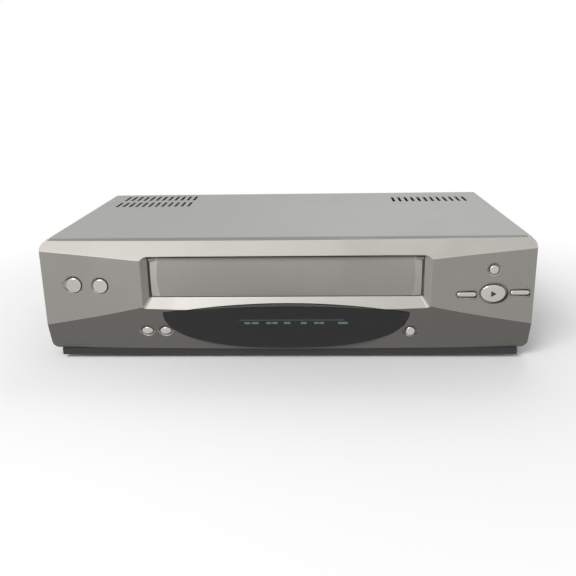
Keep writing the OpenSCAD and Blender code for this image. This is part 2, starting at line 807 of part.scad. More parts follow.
module top_cover() {
    flange = 8;
    color([0.66, 0.66, 0.65]) difference() {
        slab_y(cover_front, rear_y + cover_t) cover_outer();
        slab_y(cover_front - 1, rear_y + 0.05) cover_inner();
        block([-side_in + flange, rear_y - 1, 0],
            [side_in - flange, rear_y + 2, cover_top - cover_t - flange]);
        translate([-half_w + 52, rear_y - 52, cover_top - 2]) linear_extrude(height = 4) {
            slot_row(12, 6, 24, 2.6);
            translate([0, 32]) slot_row(12, 6, 24, 2.6);
        }
        translate([half_w - 52, rear_y - 36, cover_top - 2]) linear_extrude(height = 4)
            slot_row(12, 6, 24, 2.6);
        for (i = [0 : 9]) translate([-half_w - 1, rear_y - 84 + 6 * i, 0])
            slab_x(0, body_w + 2) translate([0, 62]) pill2(2.6, 18);
        for (p = side_screws) rod_x(p[0], p[1], 2.1, -half_w - 1, half_w + 1);
        for (x = rear_screw_x) rod_y(x, cover_top - cover_t - 4, 2.1, rear_y - 1, rear_y + 3);
    }
}

// Outside of the cover's section
module cover_outer() {
    low = pan_ledge + pan_t;
    high = cover_top - low;
    translate([0, low + high / 2]) difference() {
        translate([0, -10]) round_rect(body_w, high + 20, cover_bend);
        translate([0, -high / 2 - 50]) square([body_w + 2, 100], center = true);
    }
}

// Inside of the cover's section
module cover_inner() {
    low = pan_ledge + pan_t;
    high = cover_top - cover_t - low;
    translate([0, low + high / 2 - 10])
        round_rect(2 * side_in, high + 20, cover_bend - cover_t);
}

// Half section of the base pan, from the middle out
function pan_section() = [
    [0, foot_h], [pan_x, foot_h], [pan_x, pan_ledge], [pan_wall_x, pan_ledge],
    [pan_wall_x, pan_ledge + 26], [pan_wall_x - pan_t, pan_ledge + 26],
    [pan_wall_x - pan_t, pan_ledge + pan_t], [pan_x - pan_t, pan_ledge + pan_t],
    [pan_x - pan_t, floor_z], [0, floor_z]];

foot_spots = [[-pan_x + 18, pan_front + 16], [pan_x - 18, pan_front + 16],
    [-pan_x + 18, rear_in - 20], [pan_x - 18, rear_in - 20]];
main_left = -deck_x + 2;
main_right = pan_x - pan_t - 0.8;
main_front = fascia_back + 5;
main_back = rear_in - 2;
main_posts = [[main_right - 5, main_front + 6], [main_right - 5, main_back - 52],
    [main_left + 22, main_front + 5], [main_left + 22, main_back - 5], [70, main_back - 6]];
power_posts = [[power_left + 5, deck_y - 62], [power_right - 5, deck_y - 62],
    [power_left + 5, rear_in - 12], [power_right - 5, rear_in - 12]];

module bottom_chassis() {
    wall_y = fascia_back + 1;
    color([0.13, 0.13, 0.13]) difference() {
        union() {
            both_sides() slab_y(fascia_back + 0.5, rear_in - 0.1) polygon(pan_section());
            block([-pan_x, pan_front, foot_h], [pan_x, fascia_back + 1, floor_z]);
            block([-pan_x, pan_front, foot_h], [pan_x, pan_front + pan_t, pan_ledge]);
            both_sides() block([pan_x - pan_t, pan_front, foot_h],
                [pan_x, fascia_back + 1, pan_ledge]);
            block([-pan_x + 0.5, wall_y, foot_h + 1], [pan_x - 0.5, wall_y + pan_t, fascia_z + 7]);
            block([-pan_x + 0.5, rear_in - 0.1 - pan_t, foot_h + 1],
                [pan_x - 0.5, rear_in - 0.1, pan_ledge + 1]);
            for (p = deck_posts) rod([p[0], p[1] + deck_y], 5, foot_h + 1, deck_z);
            for (p = main_posts) rod(p, 3.4, foot_h + 1, board_z);
            for (p = power_posts) rod(p, 3.4, foot_h + 1, power_z);
        }
        for (p = deck_posts) rod([p[0], p[1] + deck_y], 1.5, 12, deck_z + 1);
        for (x = pan_slot_x) block([x - 6.3, wall_y - 1, fascia_z + fascia_wall - 0.4],
            [x + 6.3, wall_y + pan_t + 1, fascia_z + fascia_wall + 2]);
        for (p = foot_spots) rod(p, 3, 0, floor_z + 1);
        for (p = side_screws) rod_x(p[0], p[1], 2, -half_w, half_w);
        for (j = [0 : 2]) translate([0, deck_y - 50 + 45 * j, 0])
            linear_extrude(height = floor_z + 0.5) slot_row(24, 9, 26, 3);
        translate([power_mid, deck_y + 12, 0]) linear_extrude(height = floor_z + 0.5)
            slot_row(5, 9, 30, 3);
    }
}

module feet() {
    color([0.1, 0.1, 0.1]) for (p = foot_spots) {
        difference() {
            rod(p, foot_r, 0, foot_h);
            rod(p, foot_r - 3, -1, 0.8);
        }
        rod(p, 2.9, foot_h - 0.5, floor_z + 0.6);
    }
}

module rear_panel() {
    low = pan_ledge + 1.2;
    high = cover_top - cover_t - 0.3;
    wide = side_in - 0.5;
    corner = 0.6 * cover_bend;
    color([0.68, 0.68, 0.66]) difference() {
        slab_y(rear_in, rear_y) polygon([[-wide, low], [wide, low], [wide, high - corner],
            [wide - corner, high], [-wide + corner, high], [-wide, high - corner]]);
        for (x = [0, 1], z = [0 : 2])
            rod_y(jack_x + jack_pitch * (x - 0.5), jack_z + jack_pitch * z, 5.4, rear_in - 1, rear_y + 1);
        for (s = [-0.5, 0.5])
            rod_y(aerial_x + s * aerial_pitch, aerial_z, aerial_r + 1.2, rear_in - 1, rear_y + 1);
        translate([aerial_x + switch_travel / 2, 0, board_top + 6])
            slab_y(rear_in - 1, rear_y + 1) square([switch_travel + 4.6, 3.6], center = true);
        rod_y(gland_at[0], gland_at[1], gland_r + run_gap, rear_in - 1, rear_y + 1);
        translate([-30, 0, 62]) slab_y(rear_in - 1, rear_y + 1) slot_row(14, 7, 22, 3);
        for (x = rear_screw_x) rod_y(x, cover_top - cover_t - 4, 2, rear_in - 1, rear_y + 1);
    }
}

// One cover screw, whose head faces -Z
module screw(head_r, head_h, shank_r, shank_l) {
    difference() {
        union() {
            intersection() {
                translate([0, 0, -head_h]) cylinder(r = head_r, h = head_h);
                translate([0, 0, head_r * 1.9 - head_h]) sphere(r = head_r * 1.9);
            }
            translate([0, 0, -0.2]) cylinder(r = shank_r, h = shank_l + 0.2);
        }
        for (a = [0, 90]) rotate([0, 0, a])
            translate([-head_r * 0.55, -0.5, -head_h - 1]) cube([head_r * 1.1, 1, 1.9]);
    }
}

module cover_screws() {
    color([0.25, 0.25, 0.25]) {
        for (p = side_screws) {
            translate([-half_w, p[0], p[1]]) rotate([0, 90, 0]) screw(4, 1.6, 1.9, 5);
            translate([half_w, p[0], p[1]]) rotate([0, -90, 0]) screw(4, 1.6, 1.9, 5);
        }
        for (x = rear_screw_x) translate([x, rear_y + cover_t, cover_top - cover_t - 4])
            rotate([90, 0, 0]) screw(3.6, 1.6, 1.9, 5);
    }
}

// ---- sockets on the rear ----

module phono_jacks() {
    color([0.12, 0.12, 0.12]) difference() {
        union() {
            block([jack_x - jack_pitch + 0.5, rear_in - 13, board_top],
                [jack_x + jack_pitch - 0.5, rear_in - seat, jack_z + 2 * jack_pitch + 6.5]);
            for (x = [0, 1], z = [0 : 2])
                rod_y(jack_x + jack_pitch * (x - 0.5), jack_z + jack_pitch * z,
                    jack_r, rear_in - 1, rear_y + jack_out);
        }
        for (x = [0, 1], z = [0 : 2])
            rod_y(jack_x + jack_pitch * (x - 0.5), jack_z + jack_pitch * z,
                1.65, rear_in - 6, rear_y + jack_out + 1);
    }
}

module tuner() {
    wide = tuner_w;
    long = 50;
    high = 34;
    color([0.75, 0.75, 0.75]) difference() {
        union() {
            block([aerial_x - wide / 2, rear_in - long, board_top + 2.2],
                [aerial_x + wide / 2, rear_in - 7, board_top + high]);
            block([aerial_x - wide / 2, rear_in - 7, aerial_z - 9],
                [aerial_x + wide / 2, rear_in - seat, board_top + high]);
            for (sx = [-1, 1], sy = [8, long - 8])
                block([aerial_x + sx * (wide / 2 - 1) - 1, rear_in - sy - 2, board_top],
                    [aerial_x + sx * (wide / 2 - 1) + 1, rear_in - sy + 2, board_top + 3]);
            for (s = [-0.5, 0.5])
                rod_y(aerial_x + s * aerial_pitch, aerial_z, aerial_r,
                    rear_in - 1, rear_y + aerial_out);
        }
        for (s = [-0.5, 0.5])
            rod_y(aerial_x + s * aerial_pitch, aerial_z, 1.2, rear_in + 1, rear_y + aerial_out + 1);
        for (i = [0 : 4])
            block([aerial_x - 11, rear_in - 44 + 7 * i, board_top + high - 0.6],
                [aerial_x + 11, rear_in - 41 + 7 * i, board_top + high + 1]);
    }
}

module channel_switch() {
    z = board_top + 6;
    color([0.1, 0.1, 0.1]) {
        block([aerial_x - 1.5, rear_in - 3, z - 1.1], [aerial_x + 1.5, rear_y + 2, z + 1.1]);
        block([aerial_x - 2.4, rear_in - 4.4, z - 2.6], [aerial_x + 2.4, rear_in - 0.8, z + 2.6]);
    }
}

module cord_gland() {
    color([0.08, 0.08, 0.08]) difference() {
        union() {
            rod_y(gland_at[0], gland_at[1], gland_r, rear_in - 2, rear_y + 3);
            rod_y(gland_at[0], gland_at[1], gland_r + 1.6, rear_in - 3.6, rear_in - seat);
            rod_y(gland_at[0], gland_at[1], gland_r + 2, rear_y + seat, rear_y + 2.6);
            translate([gland_at[0], rear_y + 2, gland_at[1]]) rotate([-90, 0, 0])
                cylinder(r1 = gland_r, r2 = gland_r - 1.6, h = 7);
        }
        rod_y(gland_at[0], gland_at[1], gland_bore_r, rear_in - 5, rear_y + 12);
    }
}

// ---- main board and power supply ----

module main_board() {
    color([0.1, 0.35, 0.2]) difference() {
        union() {
            block([main_left, main_front, board_z], [deck_x, main_back, board_top]);
            block([deck_x - 1, main_front, board_z], [main_right, main_back, board_top]);
        }
        for (p = deck_posts) rod([p[0], p[1] + deck_y], 5.7, 0, board_top + 1);
    }
}

// Flat packaged chip with its rows of legs joined to the body
module chip(at, w, d, h) {
    translate([at[0], at[1], board_top]) {
        translate([-w / 2, -d / 2, 0.4]) cube([w, d, h - 0.4]);
        for (s = [-1, 1]) for (i = [0 : floor(w / 2.54) - 1])
            translate([-w / 2 + 0.9 + 2.54 * i, s * (d / 2 + 0.5) - 0.5, 0]) cube([0.7, 1, 1.6]);
    }
}

// Upright can capacitor
module can(at, r, h, z) {
    difference() {
        rod(at, r, z, z + h);
        rod(at, r * 0.7, z + h - 0.3, z + h + 1);
    }
}

module board_components() {
    x0 = deck_x + 4;
    color([0.14, 0.14, 0.15]) {
        chip([x0 + 14, deck_y - 58], 22, 14, 3.2);
        chip([x0 + 44, deck_y - 62], 18, 10, 3.2);
        chip([x0 + 18, deck_y - 30], 26, 9, 3.4);
        chip([-40, deck_y - 58], 30, 16, 3.2);
        chip([20, deck_y - 40], 20, 8, 3);
        chip([-70, deck_y + 40], 20, 8, 3);
    }
    color([0.2, 0.22, 0.4]) {
        for (i = [0 : 3]) can([x0 + 9 + 13 * i, deck_y - 8], 4, 11 + 2 * (i % 2), board_top);
        for (i = [0 : 2]) can([x0 + 36 + 9 * i, deck_y - 40], 2.5, 8, board_top);
    }
    color([0.78, 0.78, 0.78]) difference() {
        block([x0 + 2, deck_y + 12, board_top], [x0 + 40, deck_y + 44, board_top + 19]);
        for (i = [0 : 5]) block([x0 + 6 + 5.4 * i, deck_y + 17, board_top + 18.4],
            [x0 + 8.4 + 5.4 * i, deck_y + 39, board_top + 20]);
    }
}

module power_board() {
    color([0.6, 0.48, 0.28]) difference() {
        block([power_left, deck_y - 68, power_z], [power_right, rear_in - 6, power_top]);
        block([gland_at[0] - 9, rear_in - 12, power_z - 1], [gland_at[0] + 9, rear_in, power_top + 1]);
    }
}

module power_transformer() {
    at = [power_mid - 6, deck_y + 22];
    color([0.25, 0.22, 0.2]) {
        block([at[0] - 16, at[1] - 14, power_top + 2], [at[0] + 16, at[1] + 14, power_top + 6]);
        block([at[0] - 16, at[1] - 14, power_top + 22], [at[0] + 16, at[1] + 14, power_top + 26]);
        both_ends(at, 13.5) block([-2.5, -14, power_top + 5], [2.5, 14, power_top + 23]);
        both_ends(at, 14) for (s = [-1, 1])
            block([-1, s * 11 - 1, power_top], [1, s * 11 + 1, power_top + 3]);
    }
    color([0.85, 0.7, 0.25]) rod(at, 10, power_top + 6, power_top + 22);
}

// Two copies at equal distances to the left and right of a point
module both_ends(at, d) {
    for (s = [-1, 1]) translate([at[0] + s * d, at[1], 0]) children();
}

module power_capacitors() {
    color([0.12, 0.12, 0.3]) {
        can([power_mid - 10, deck_y - 34], 11, 32, power_top);
        can([power_mid + 16, deck_y - 24], 5, 20, power_top);
        can([power_mid + 16, deck_y - 44], 6, 22, power_top);
    }
}

module heat_sink() {
    x0 = power_mid - 16;
    y0 = deck_y + 58;
    color([0.7, 0.7, 0.72]) {
        block([x0, y0, power_top], [x0 + 34, y0 + 3, power_top + 40]);
        for (i = [0 : 6]) block([x0 + 5.4 * i, y0 + 2, power_top + 2],
            [x0 + 5.4 * i + 1.6, y0 + 15, power_top + 40]);
    }
}

// ---- tape deck ----

module deck_plate() {
    slot = guide_travel + 2 * pin_r + 1;
    color([0.72, 0.72, 0.7]) on_deck() difference() {
        union() {
            block([-deck_x, -84, deck_z], [deck_x, 98, deck_top]);
            for (s = [-1, 1]) rod([s * reel_pitch / 2, reel_y], pin_r, deck_z, basket_floor - let_down + 7);
            rod([clutch_at[0], clutch_at[1]], 3, deck_z - 3, deck_top + 1.7);
            rod(capstan_at, 5, deck_z, deck_top + 13);
            rod(pinch_pivot, 3, deck_z, 60.6);
            rod(cam_at, 2, deck_z, wheel_z + wheel_t + 1);
            rod(tension_pivot, 2, deck_z, deck_top + 5);
        }
        rod([0, drum_y], drum_r - 3.5, deck_z - 1, deck_top + 1);
        rod(capstan_at, pin_r + run_gap, deck_z - 1, deck_top + 14);
        rod(clutch_at, pin_r + run_gap, deck_z - 4, deck_top + 3);
        for (s = [-1, 1]) translate([s * guide_x, guide_y + guide_travel / 2, deck_z - 1])
            linear_extrude(height = deck_t + 2) pill2(2 * pin_r + 0.6, slot);
        for (p = deck_posts) rod(p, 1.7, deck_z - 1, deck_top + 1);
        for (s = [-1, 1]) translate([s * 28, -62, deck_z - 1])
            linear_extrude(height = deck_t + 2) round_rect(40, 20, 4);
        for (s = [-1, 1]) translate([s * 80, -62, deck_z - 1])
            linear_extrude(height = deck_t + 2) round_rect(22, 20, 4);
        translate([-80, 66, deck_z - 1])
            linear_extrude(height = deck_t + 2) round_rect(34, 30, 5);
    }
}

// Slot in an upright side plate, between two points on its middle line
module side_slot(from, to, r, x0, x1) {
    d = to - from;
    slab_x(x0, x1) {
        translate((from + to) / 2) rotate(atan2(d[1], d[0])) square([norm(d), 2 * r], center = true);
        translate(from) circle(r = r);
        translate(to) circle(r = r);
    }
}

module side_brackets() {
    color([0.68, 0.68, 0.66]) on_deck() both_sides() difference() {
        union() {
            block([bracket_x, -88, deck_top], [bracket_x + sheet_t, 34, bracket_top]);
            block([bracket_x, -64, deck_top], [deck_x - 0.5, 26, deck_top + sheet_t]);
        }
        side_slot([pin_rows[0], rail_z], [pin_rows[1] + draw_in, rail_z], pin_r + 0.3,
            bracket_x - 1, bracket_x + sheet_t + 1);
        slab_x(bracket_x - 1, bracket_x + sheet_t + 1)
            translate([-22, 47]) round_rect(64, 18, 4);
    }
}

module lift_carriage() {
    color([0.6, 0.6, 0.62]) on_deck() {
        both_sides() {
            difference() {
                block([carriage_x, basket_front, carriage_low],
                    [carriage_x + sheet_t, basket_back - 1, rail_z + 3]);
                for (y = pin_rows) side_slot([y, pin_z - let_down], [y, pin_z], pin_r + 0.3,
                    carriage_x - 1, carriage_x + sheet_t + 1);
                slab_x(carriage_x - 1, carriage_x + sheet_t + 1)
                    translate([-48, pin_z - 8]) round_rect(22, 14, 3);
            }
            for (y = pin_rows) rod_x(y, rail_z, pin_r,
                carriage_x + sheet_t - 0.2, bracket_x + sheet_t + 0.8);
        }
        block([-carriage_x - 0.2, -52, rail_z + 1.8], [carriage_x + 0.2, -44, rail_z + 3]);
    }
}

module cassette_basket() {
    low = basket_floor - sheet_t;
    color([0.55, 0.55, 0.56]) on_deck() {
        both_sides() {
            block([70, shelf_front, low], [basket_in + sheet_t, basket_back, basket_floor]);
            block([basket_in, basket_front, low], [basket_in + sheet_t, basket_back, basket_top + sheet_t]);
            for (y = pin_rows) rod_x(y, pin_z, pin_r,
                basket_in + sheet_t - 0.2, carriage_x + sheet_t + 0.5);
        }
        difference() {
            block([-basket_in - sheet_t, basket_front, basket_top],
                [basket_in + sheet_t, basket_back, basket_top + sheet_t]);
            for (s = [-1, 1]) translate([s * 46, -44, basket_top - 1])
                linear_extrude(height = sheet_t + 2) round_rect(66, 30, 5);
        }
    }
}

// ---- head drum ----

drum_gap_z = deck_top + 22.6;
module lower_drum() {
    low = deck_top + 5;
    color([0.78, 0.78, 0.8]) difference() {
        union() {
            on_drum() rod([0, 0], drum_r, low, drum_gap_z);
            intersection() {
                translate([0, drum_y + deck_y, 0]) rod([0, 0], drum_r + 1.5, deck_top, deck_top + 12);
                on_drum() rod([0, 0], drum_r + 1.5, 0, low + 1.5);
            }
        }
        on_drum() rod([0, 0], drum_shaft_r + run_gap, 0, drum_gap_z + 1);
        on_drum() rod([0, 0], drum_r - 6, 0, low + 0.5);
    }
}

module upper_drum() {
    high = drum_gap_z + 16;
    color([0.82, 0.82, 0.84]) on_drum() difference() {
        union() {
            rod([0, 0], drum_r, drum_gap_z + 0.4, high - 3);
            rod([0, 0], drum_r - 8, high - 3.5, high);
            rod([0, 0], drum_shaft_r, 12.6, high + 3);
        }
        for (i = [0 : 3]) rotate([0, 0, 90 * i + 45])
            block([drum_r - 4, -2, drum_gap_z - 1], [drum_r + 1, 2, drum_gap_z + 3]);
        for (i = [0 : 5]) rotate([0, 0, 60 * i]) rod([drum_r - 15, 0], 2, high - 1.5, high + 1);
    }
}

module drum_rotor() {
    color([0.5, 0.5, 0.52]) on_drum() difference() {
        rod([0, 0], 24, 13.6, 18.6);
        rod([0, 0], 21.5, 15, 20);
        rod([0, 0], drum_shaft_r + run_gap, 12, 20);
    }
    color([0.6, 0.5, 0.3]) on_drum() difference() {
        rod([0, 0], 6, 14.5, 18);
        rod([0, 0], drum_shaft_r + run_gap, 12, 20);
    }
}

module drum_stator() {
    top = deck_top + 5.5;
    color([0.55, 0.35, 0.2]) on_drum() {
        difference() {
            union() {
                rod([0, 0], 23, 20, 21.2);
                for (i = [0 : 5]) rotate([0, 0, 60 * i]) rod([14.5, 0], 5, 19.2, 20.2);
                for (i = [0 : 2]) rotate([0, 0, 120 * i + 30]) rod([19.5, 0], 2.4, 21, top);
            }
            rod([0, 0], 7, 18, 22);
        }
    }
}

// ---- capstan, belt and reels ----

module capstan() {
    color([0.8, 0.8, 0.82]) on_deck() {
        rod(capstan_at, pin_r, 11.8, 64);
        difference() {
            rod(capstan_at, flywheel_r, 15.6, 19.4);
            rod(capstan_at, flywheel_r - 2.5, 17.8, 22);
        }
        rod(capstan_at, 5, 17, 19.2);
        rod(capstan_at, capstan_pulley_r, 12.4, 15.8);
        rod(capstan_at, capstan_pulley_r + 1.8, 11.9, 12.7);
    }
}

module capstan_stator() {
    color([0.55, 0.35, 0.2]) on_deck() difference() {
        union() {
            rod(capstan_at, 22, 21, 22.2);
            for (i = [0 : 5]) rod(capstan_at + 11.5 * [cos(60 * i), sin(60 * i)], 4.6, 20, 21.4);
            for (a = [-60, 0, 60]) rod(capstan_at + 19 * [cos(a), sin(a)], 2.2, 22, deck_z);
        }
        rod(capstan_at, 5.6, 19, deck_z + 1);
    }
}

module drive_belt() {
    color([0.08, 0.08, 0.08]) on_deck() translate([0, 0, belt_z])
        linear_extrude(height = belt_t) difference() {
            polygon(belt_outline(0.4 + belt_t));
            polygon(belt_outline(0.4));
        }
}

module clutch_pulley() {
    color([0.85, 0.84, 0.8]) on_deck() {
        rod(clutch_at, clutch_pulley_r, 12.2, 16.6);
        rod(clutch_at, clutch_pulley_r + 1.8, 11.6, 12.6);
        rod(clutch_at, clutch_pulley_r + 1.8, 15.6, 16.6);
        rod(clutch_at, pin_r, 12, wheel_z + wheel_t + 1.4);
        rod(clutch_at, clutch_r, wheel_z + 0.1, wheel_z + wheel_t);
    }
}

module idler_arm() {
    end = clutch_at - [0, idler_reach];
    color([0.3, 0.3, 0.32]) on_deck() difference() {
        union() {
            rod(clutch_at, 5.6, deck_top + 0.3, deck_top + 1.4);
            rod(end, 4, deck_top + 0.3, deck_top + 1.4);
            block([-2.6, end[1], deck_top + 0.3], [2.6, clutch_at[1] - 4, deck_top + 1.4]);
            rod(end, 1.2, deck_top + 0.3, wheel_z + wheel_t + 0.6);
        }
        rod(clutch_at, 3 + run_gap, deck_top, deck_top + 3);
    }
}

module idler_wheel() {
    end = clutch_at - [0, idler_reach];
    color([0.9, 0.88, 0.82]) on_deck() difference() {
        rod(end, idler_r, wheel_z + 0.1, wheel_z + wheel_t);
        rod(end, 1.2 + run_gap, wheel_z - 1, wheel_z + wheel_t + 1);
        for (i = [0 : 4]) rod(end + 6 * [cos(72 * i), sin(72 * i)], 1.8, wheel_z - 1, wheel_z + 9);
    }
}

// Reel table with its splined hub
module reel(x) {
    at = [x, reel_y];
    hub_top = basket_floor - let_down + 6;
    color([0.88, 0.87, 0.84]) on_deck() difference() {
        union() {
            rod(at, reel_rim_r, wheel_z + 0.1, wheel_z + wheel_t);
            rod(at, 12.5, wheel_z, wheel_z + wheel_t + 2.4);
            rod(at, 6.4, wheel_z, hub_top);
            for (i = [0 : 2]) translate([at[0], at[1], 0]) rotate([0, 0, 120 * i + 90])
                block([5, -0.9, wheel_z + 4], [8.6, 0.9, hub_top - 1.4]);
            rod(at, 4, deck_top + 0.3, wheel_z + 1);
        }
        rod(at, pin_r + run_gap, deck_top, hub_top - 1.2);
        rod(at, 2.6, hub_top - 1.4, hub_top + 9);
    }
}

module supply_reel() { reel(-reel_pitch / 2); }
module take_up_reel() { reel(reel_pitch / 2); }

module pinch_arm() {
    end = pinch_pivot + pinch_reach * [cos(pinch_rest), sin(pinch_rest)];
    color([0.45, 0.45, 0.47]) on_deck() {
        difference() {
            rod(pinch_pivot, 5, 38, 59.6);
            rod(pinch_pivot, 3 + run_gap, 37, 60);
        }
        difference() {
            union() {
                translate([pinch_pivot[0], pinch_pivot[1], 57.4]) rotate([0, 0, pinch_rest])
                    block([2, -3.4, 0], [pinch_reach, 3.4, 2.2]);
                rod(end, 4.4, 57.4, 59.6);
            }
            rod(pinch_pivot, 4, 57, 60);
        }
        rod(end, pin_r, 39.6, 58);
        rod(end, 2.6, 39, 40);
    }
}

module pinch_roller() {
    end = pinch_pivot + pinch_reach * [cos(pinch_rest), sin(pinch_rest)];
    color([0.09, 0.09, 0.09]) on_deck() difference() {
        rod(end, pinch_r, 40.6, 56.6);
        rod(end, pin_r + run_gap, 40, 57);
        rod(end, 4.6, 55.6, 57);
    }
}

// Roller and slanted post on a sliding foot; s is -1 on the supply side
module tape_guide(s) {
    at = [s * guide_x, guide_y];
    low = deck_top + 0.3;
    color([0.8, 0.8, 0.82]) on_deck() {
        block([at[0] - 5, at[1] - 6, low], [at[0] + 5, at[1] + 5, low + 3.4]);
        rod(at, pin_r, deck_z - 1.2, low + 1);
        rod(at, 3.4, deck_z - 1.2, deck_z - 0.4);
        rod(at, guide_r, low + 3, 58);
        rod(at, guide_r + 1, 55.6, 57);
        rod(at, guide_r + 1, low + 9, low + 10.4);
        translate([at[0], at[1] - 4, low + 2.4]) rotate([14, 0, 0]) cylinder(r = 1.3, h = 27);
    }
}

module supply_guide() { tape_guide(-1); }
module take_up_guide() { tape_guide(1); }

module cam_gear() {
    color([0.92, 0.9, 0.85]) on_deck() translate([cam_at[0], cam_at[1], wheel_z]) difference() {
        union() {
            toothed(cam_teeth, gear_module, wheel_t);
            translate([0, 0, -1.2]) cylinder(r = 4, h = wheel_t + 1.2);
        }
        translate([0, 0, -3]) cylinder(r = 2 + run_gap, h = wheel_t + 9);
        translate([0, 0, wheel_t - 1]) difference() {
            cylinder(r = 13, h = 3);
            translate([0, 0, -1]) cylinder(r = 10.5, h = 5);
            translate([-14, 0, -1]) cube([28, 14, 5]);
        }
    }
}

module loading_pinion() {
    half_tooth = 180 / pinion_teeth;
    color([0.85, 0.8, 0.6]) on_deck() {
        translate([pinion_at[0], pinion_at[1], wheel_z - 0.6]) rotate([0, 0, half_tooth])
            toothed(pinion_teeth, gear_module, wheel_t + 1.2);
        rod(pinion_at, 1, wheel_z - 0.8, 44);
    }
}

module loading_motor() {
    low = wheel_z + wheel_t + 2.4;
    color([0.6, 0.6, 0.62]) on_deck() difference() {
        union() {
            rod(pinion_at, 10, low, 56);
            rod(pinion_at, 4, 55, 57.5);
            for (a = [100, 180, 260])
                rod(pinion_at + 8.4 * [cos(a), sin(a)], 1.2, deck_top, low + 1);
        }
        rod(pinion_at, 1 + run_gap, low - 1, 45);
        rod(pinion_at, 2.4, low - 1, low + 0.6);
    }
}

module tape_heads() {
    color([0.75, 0.74, 0.72]) on_deck() {
        block([-68, 42, deck_top], [-56, 54, deck_top + 2]);
        rod([-62, 48], 1.6, deck_top, 42);
        block([-67, 44, 40], [-57, 52, 57]);
        block([48.2, 61, deck_top], [54.6, 68, deck_top + 2]);
        rod([51.4, 64.5], 1.6, deck_top, 42);
        block([48.4, 61, 40], [54.4, 67.5, 57]);
    }
}

module tension_arm() {
    end = tension_pivot + tension_reach;
    turn = atan2(tension_reach[1], tension_reach[0]);
    low = deck_top + 0.3;
    color([0.4, 0.4, 0.42]) on_deck() difference() {
        union() {
            rod(tension_pivot, 4.4, low, low + 3.4);
            translate([tension_pivot[0], tension_pivot[1], low]) rotate([0, 0, turn])
                block([2, -2, 0], [norm(tension_reach), 2, 1.6]);
            rod(end, 3, low, low + 1.6);
            rod(end, 1.8, low + 1, 56);
            rod(end, 2.8, 54.6, 56);
        }
        rod(tension_pivot, 2 + run_gap, deck_top, deck_top + 9);
    }
}

module deck_screws() {
    color([0.8, 0.75, 0.5]) on_deck() for (p = deck_posts)
        translate([p[0], p[1], deck_top]) rotate([180, 0, 0]) screw(3.2, 2, 1.45, 8);
}

top_cover();
front_fascia();
cassette_door();
door_spring();
display_lens();
bottom_chassis();
rear_panel();
feet();
cover_screws();
power_button();
eject_button();
channel_down_button();
channel_up_button();
pause_button();
play_button();
rewind_button();
fast_forward_button();
record_button();
left_switch_board();
right_switch_board();
display_board();
fluorescent_display();
infrared_receiver();
tuner();
phono_jacks();
channel_switch();
cord_gland();
main_board();
board_components();
power_board();
power_transformer();
power_capacitors();
heat_sink();
ribbon_cable();
deck_plate();
side_brackets();
lift_carriage();
cassette_basket();
lower_drum();
upper_drum();
drum_rotor();
drum_stator();
capstan();
capstan_stator();
drive_belt();
clutch_pulley();
idler_arm();
idler_wheel();
supply_reel();
take_up_reel();
pinch_arm();
pinch_roller();
supply_guide();
take_up_guide();
cam_gear();
loading_motor();
loading_pinion();
tape_heads();
tension_arm();
deck_screws();
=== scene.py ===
"""Looks of a front-loading tape recorder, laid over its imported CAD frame.

Each sub-assembly is a class that holds its sizes in millimetres, builds its
meshes from them and dresses the CAD nodes that it owns. The finishes are small
frozen classes that build one material each. Every piece rides on a CAD body.
"""

from __future__ import annotations

import logging
import math
from dataclasses import dataclass
from enum import Enum, IntEnum
from typing import Any, Callable, Iterable, Sequence

import bmesh
import bpy
from bmesh.types import BMesh, BMVert
from bpy.types import Material, Mesh, Node, NodeSocket, NodeTree, Object
from mathutils import Matrix, Vector
from mathutils.bvhtree import BVHTree


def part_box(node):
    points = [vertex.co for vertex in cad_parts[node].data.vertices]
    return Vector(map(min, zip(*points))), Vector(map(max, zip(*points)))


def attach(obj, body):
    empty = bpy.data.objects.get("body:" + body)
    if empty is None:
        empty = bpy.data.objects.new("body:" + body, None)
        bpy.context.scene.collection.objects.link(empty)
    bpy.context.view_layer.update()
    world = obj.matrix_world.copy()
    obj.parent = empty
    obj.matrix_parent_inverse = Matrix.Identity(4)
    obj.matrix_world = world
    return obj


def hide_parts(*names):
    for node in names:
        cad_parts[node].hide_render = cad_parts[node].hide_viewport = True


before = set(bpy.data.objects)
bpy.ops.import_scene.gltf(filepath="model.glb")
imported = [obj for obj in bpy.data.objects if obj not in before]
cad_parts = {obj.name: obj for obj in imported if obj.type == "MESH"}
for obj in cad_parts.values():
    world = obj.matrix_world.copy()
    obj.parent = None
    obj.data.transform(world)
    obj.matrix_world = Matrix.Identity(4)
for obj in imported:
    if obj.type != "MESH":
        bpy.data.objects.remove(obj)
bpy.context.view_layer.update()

LOG = logging.getLogger("recorder")
MM = 0.001
WELD = 0.002 * MM

Colour = tuple[float, float, float]
Spot = tuple[float, float, float]
Area = tuple[tuple[float, float], tuple[float, float]]
Chooser = Callable[[Vector, Vector], int]


def shade(red: int, green: int, blue: int) -> Colour:
    """Turns an 8-bit display colour into a linear one.

    Args:
        red: red from 0 to 255.
        green: green from 0 to 255.
        blue: blue from 0 to 255.

    Returns:
        The linear colour.
    """
    return tuple(
        v / 12.92 if v <= 0.04045 else ((v + 0.055) / 1.055) ** 2.4
        for v in (red / 255, green / 255, blue / 255)
    )


DUST_COLOUR = shade(176, 172, 164)
DUST_SIZE = 9.0
DUST_ROUGHNESS = 0.3
# How much paler bevelled edges are made: partly wear, partly a painted highlight.
PALE_GAIN = 1.5
PALE_LIFT = 0.04


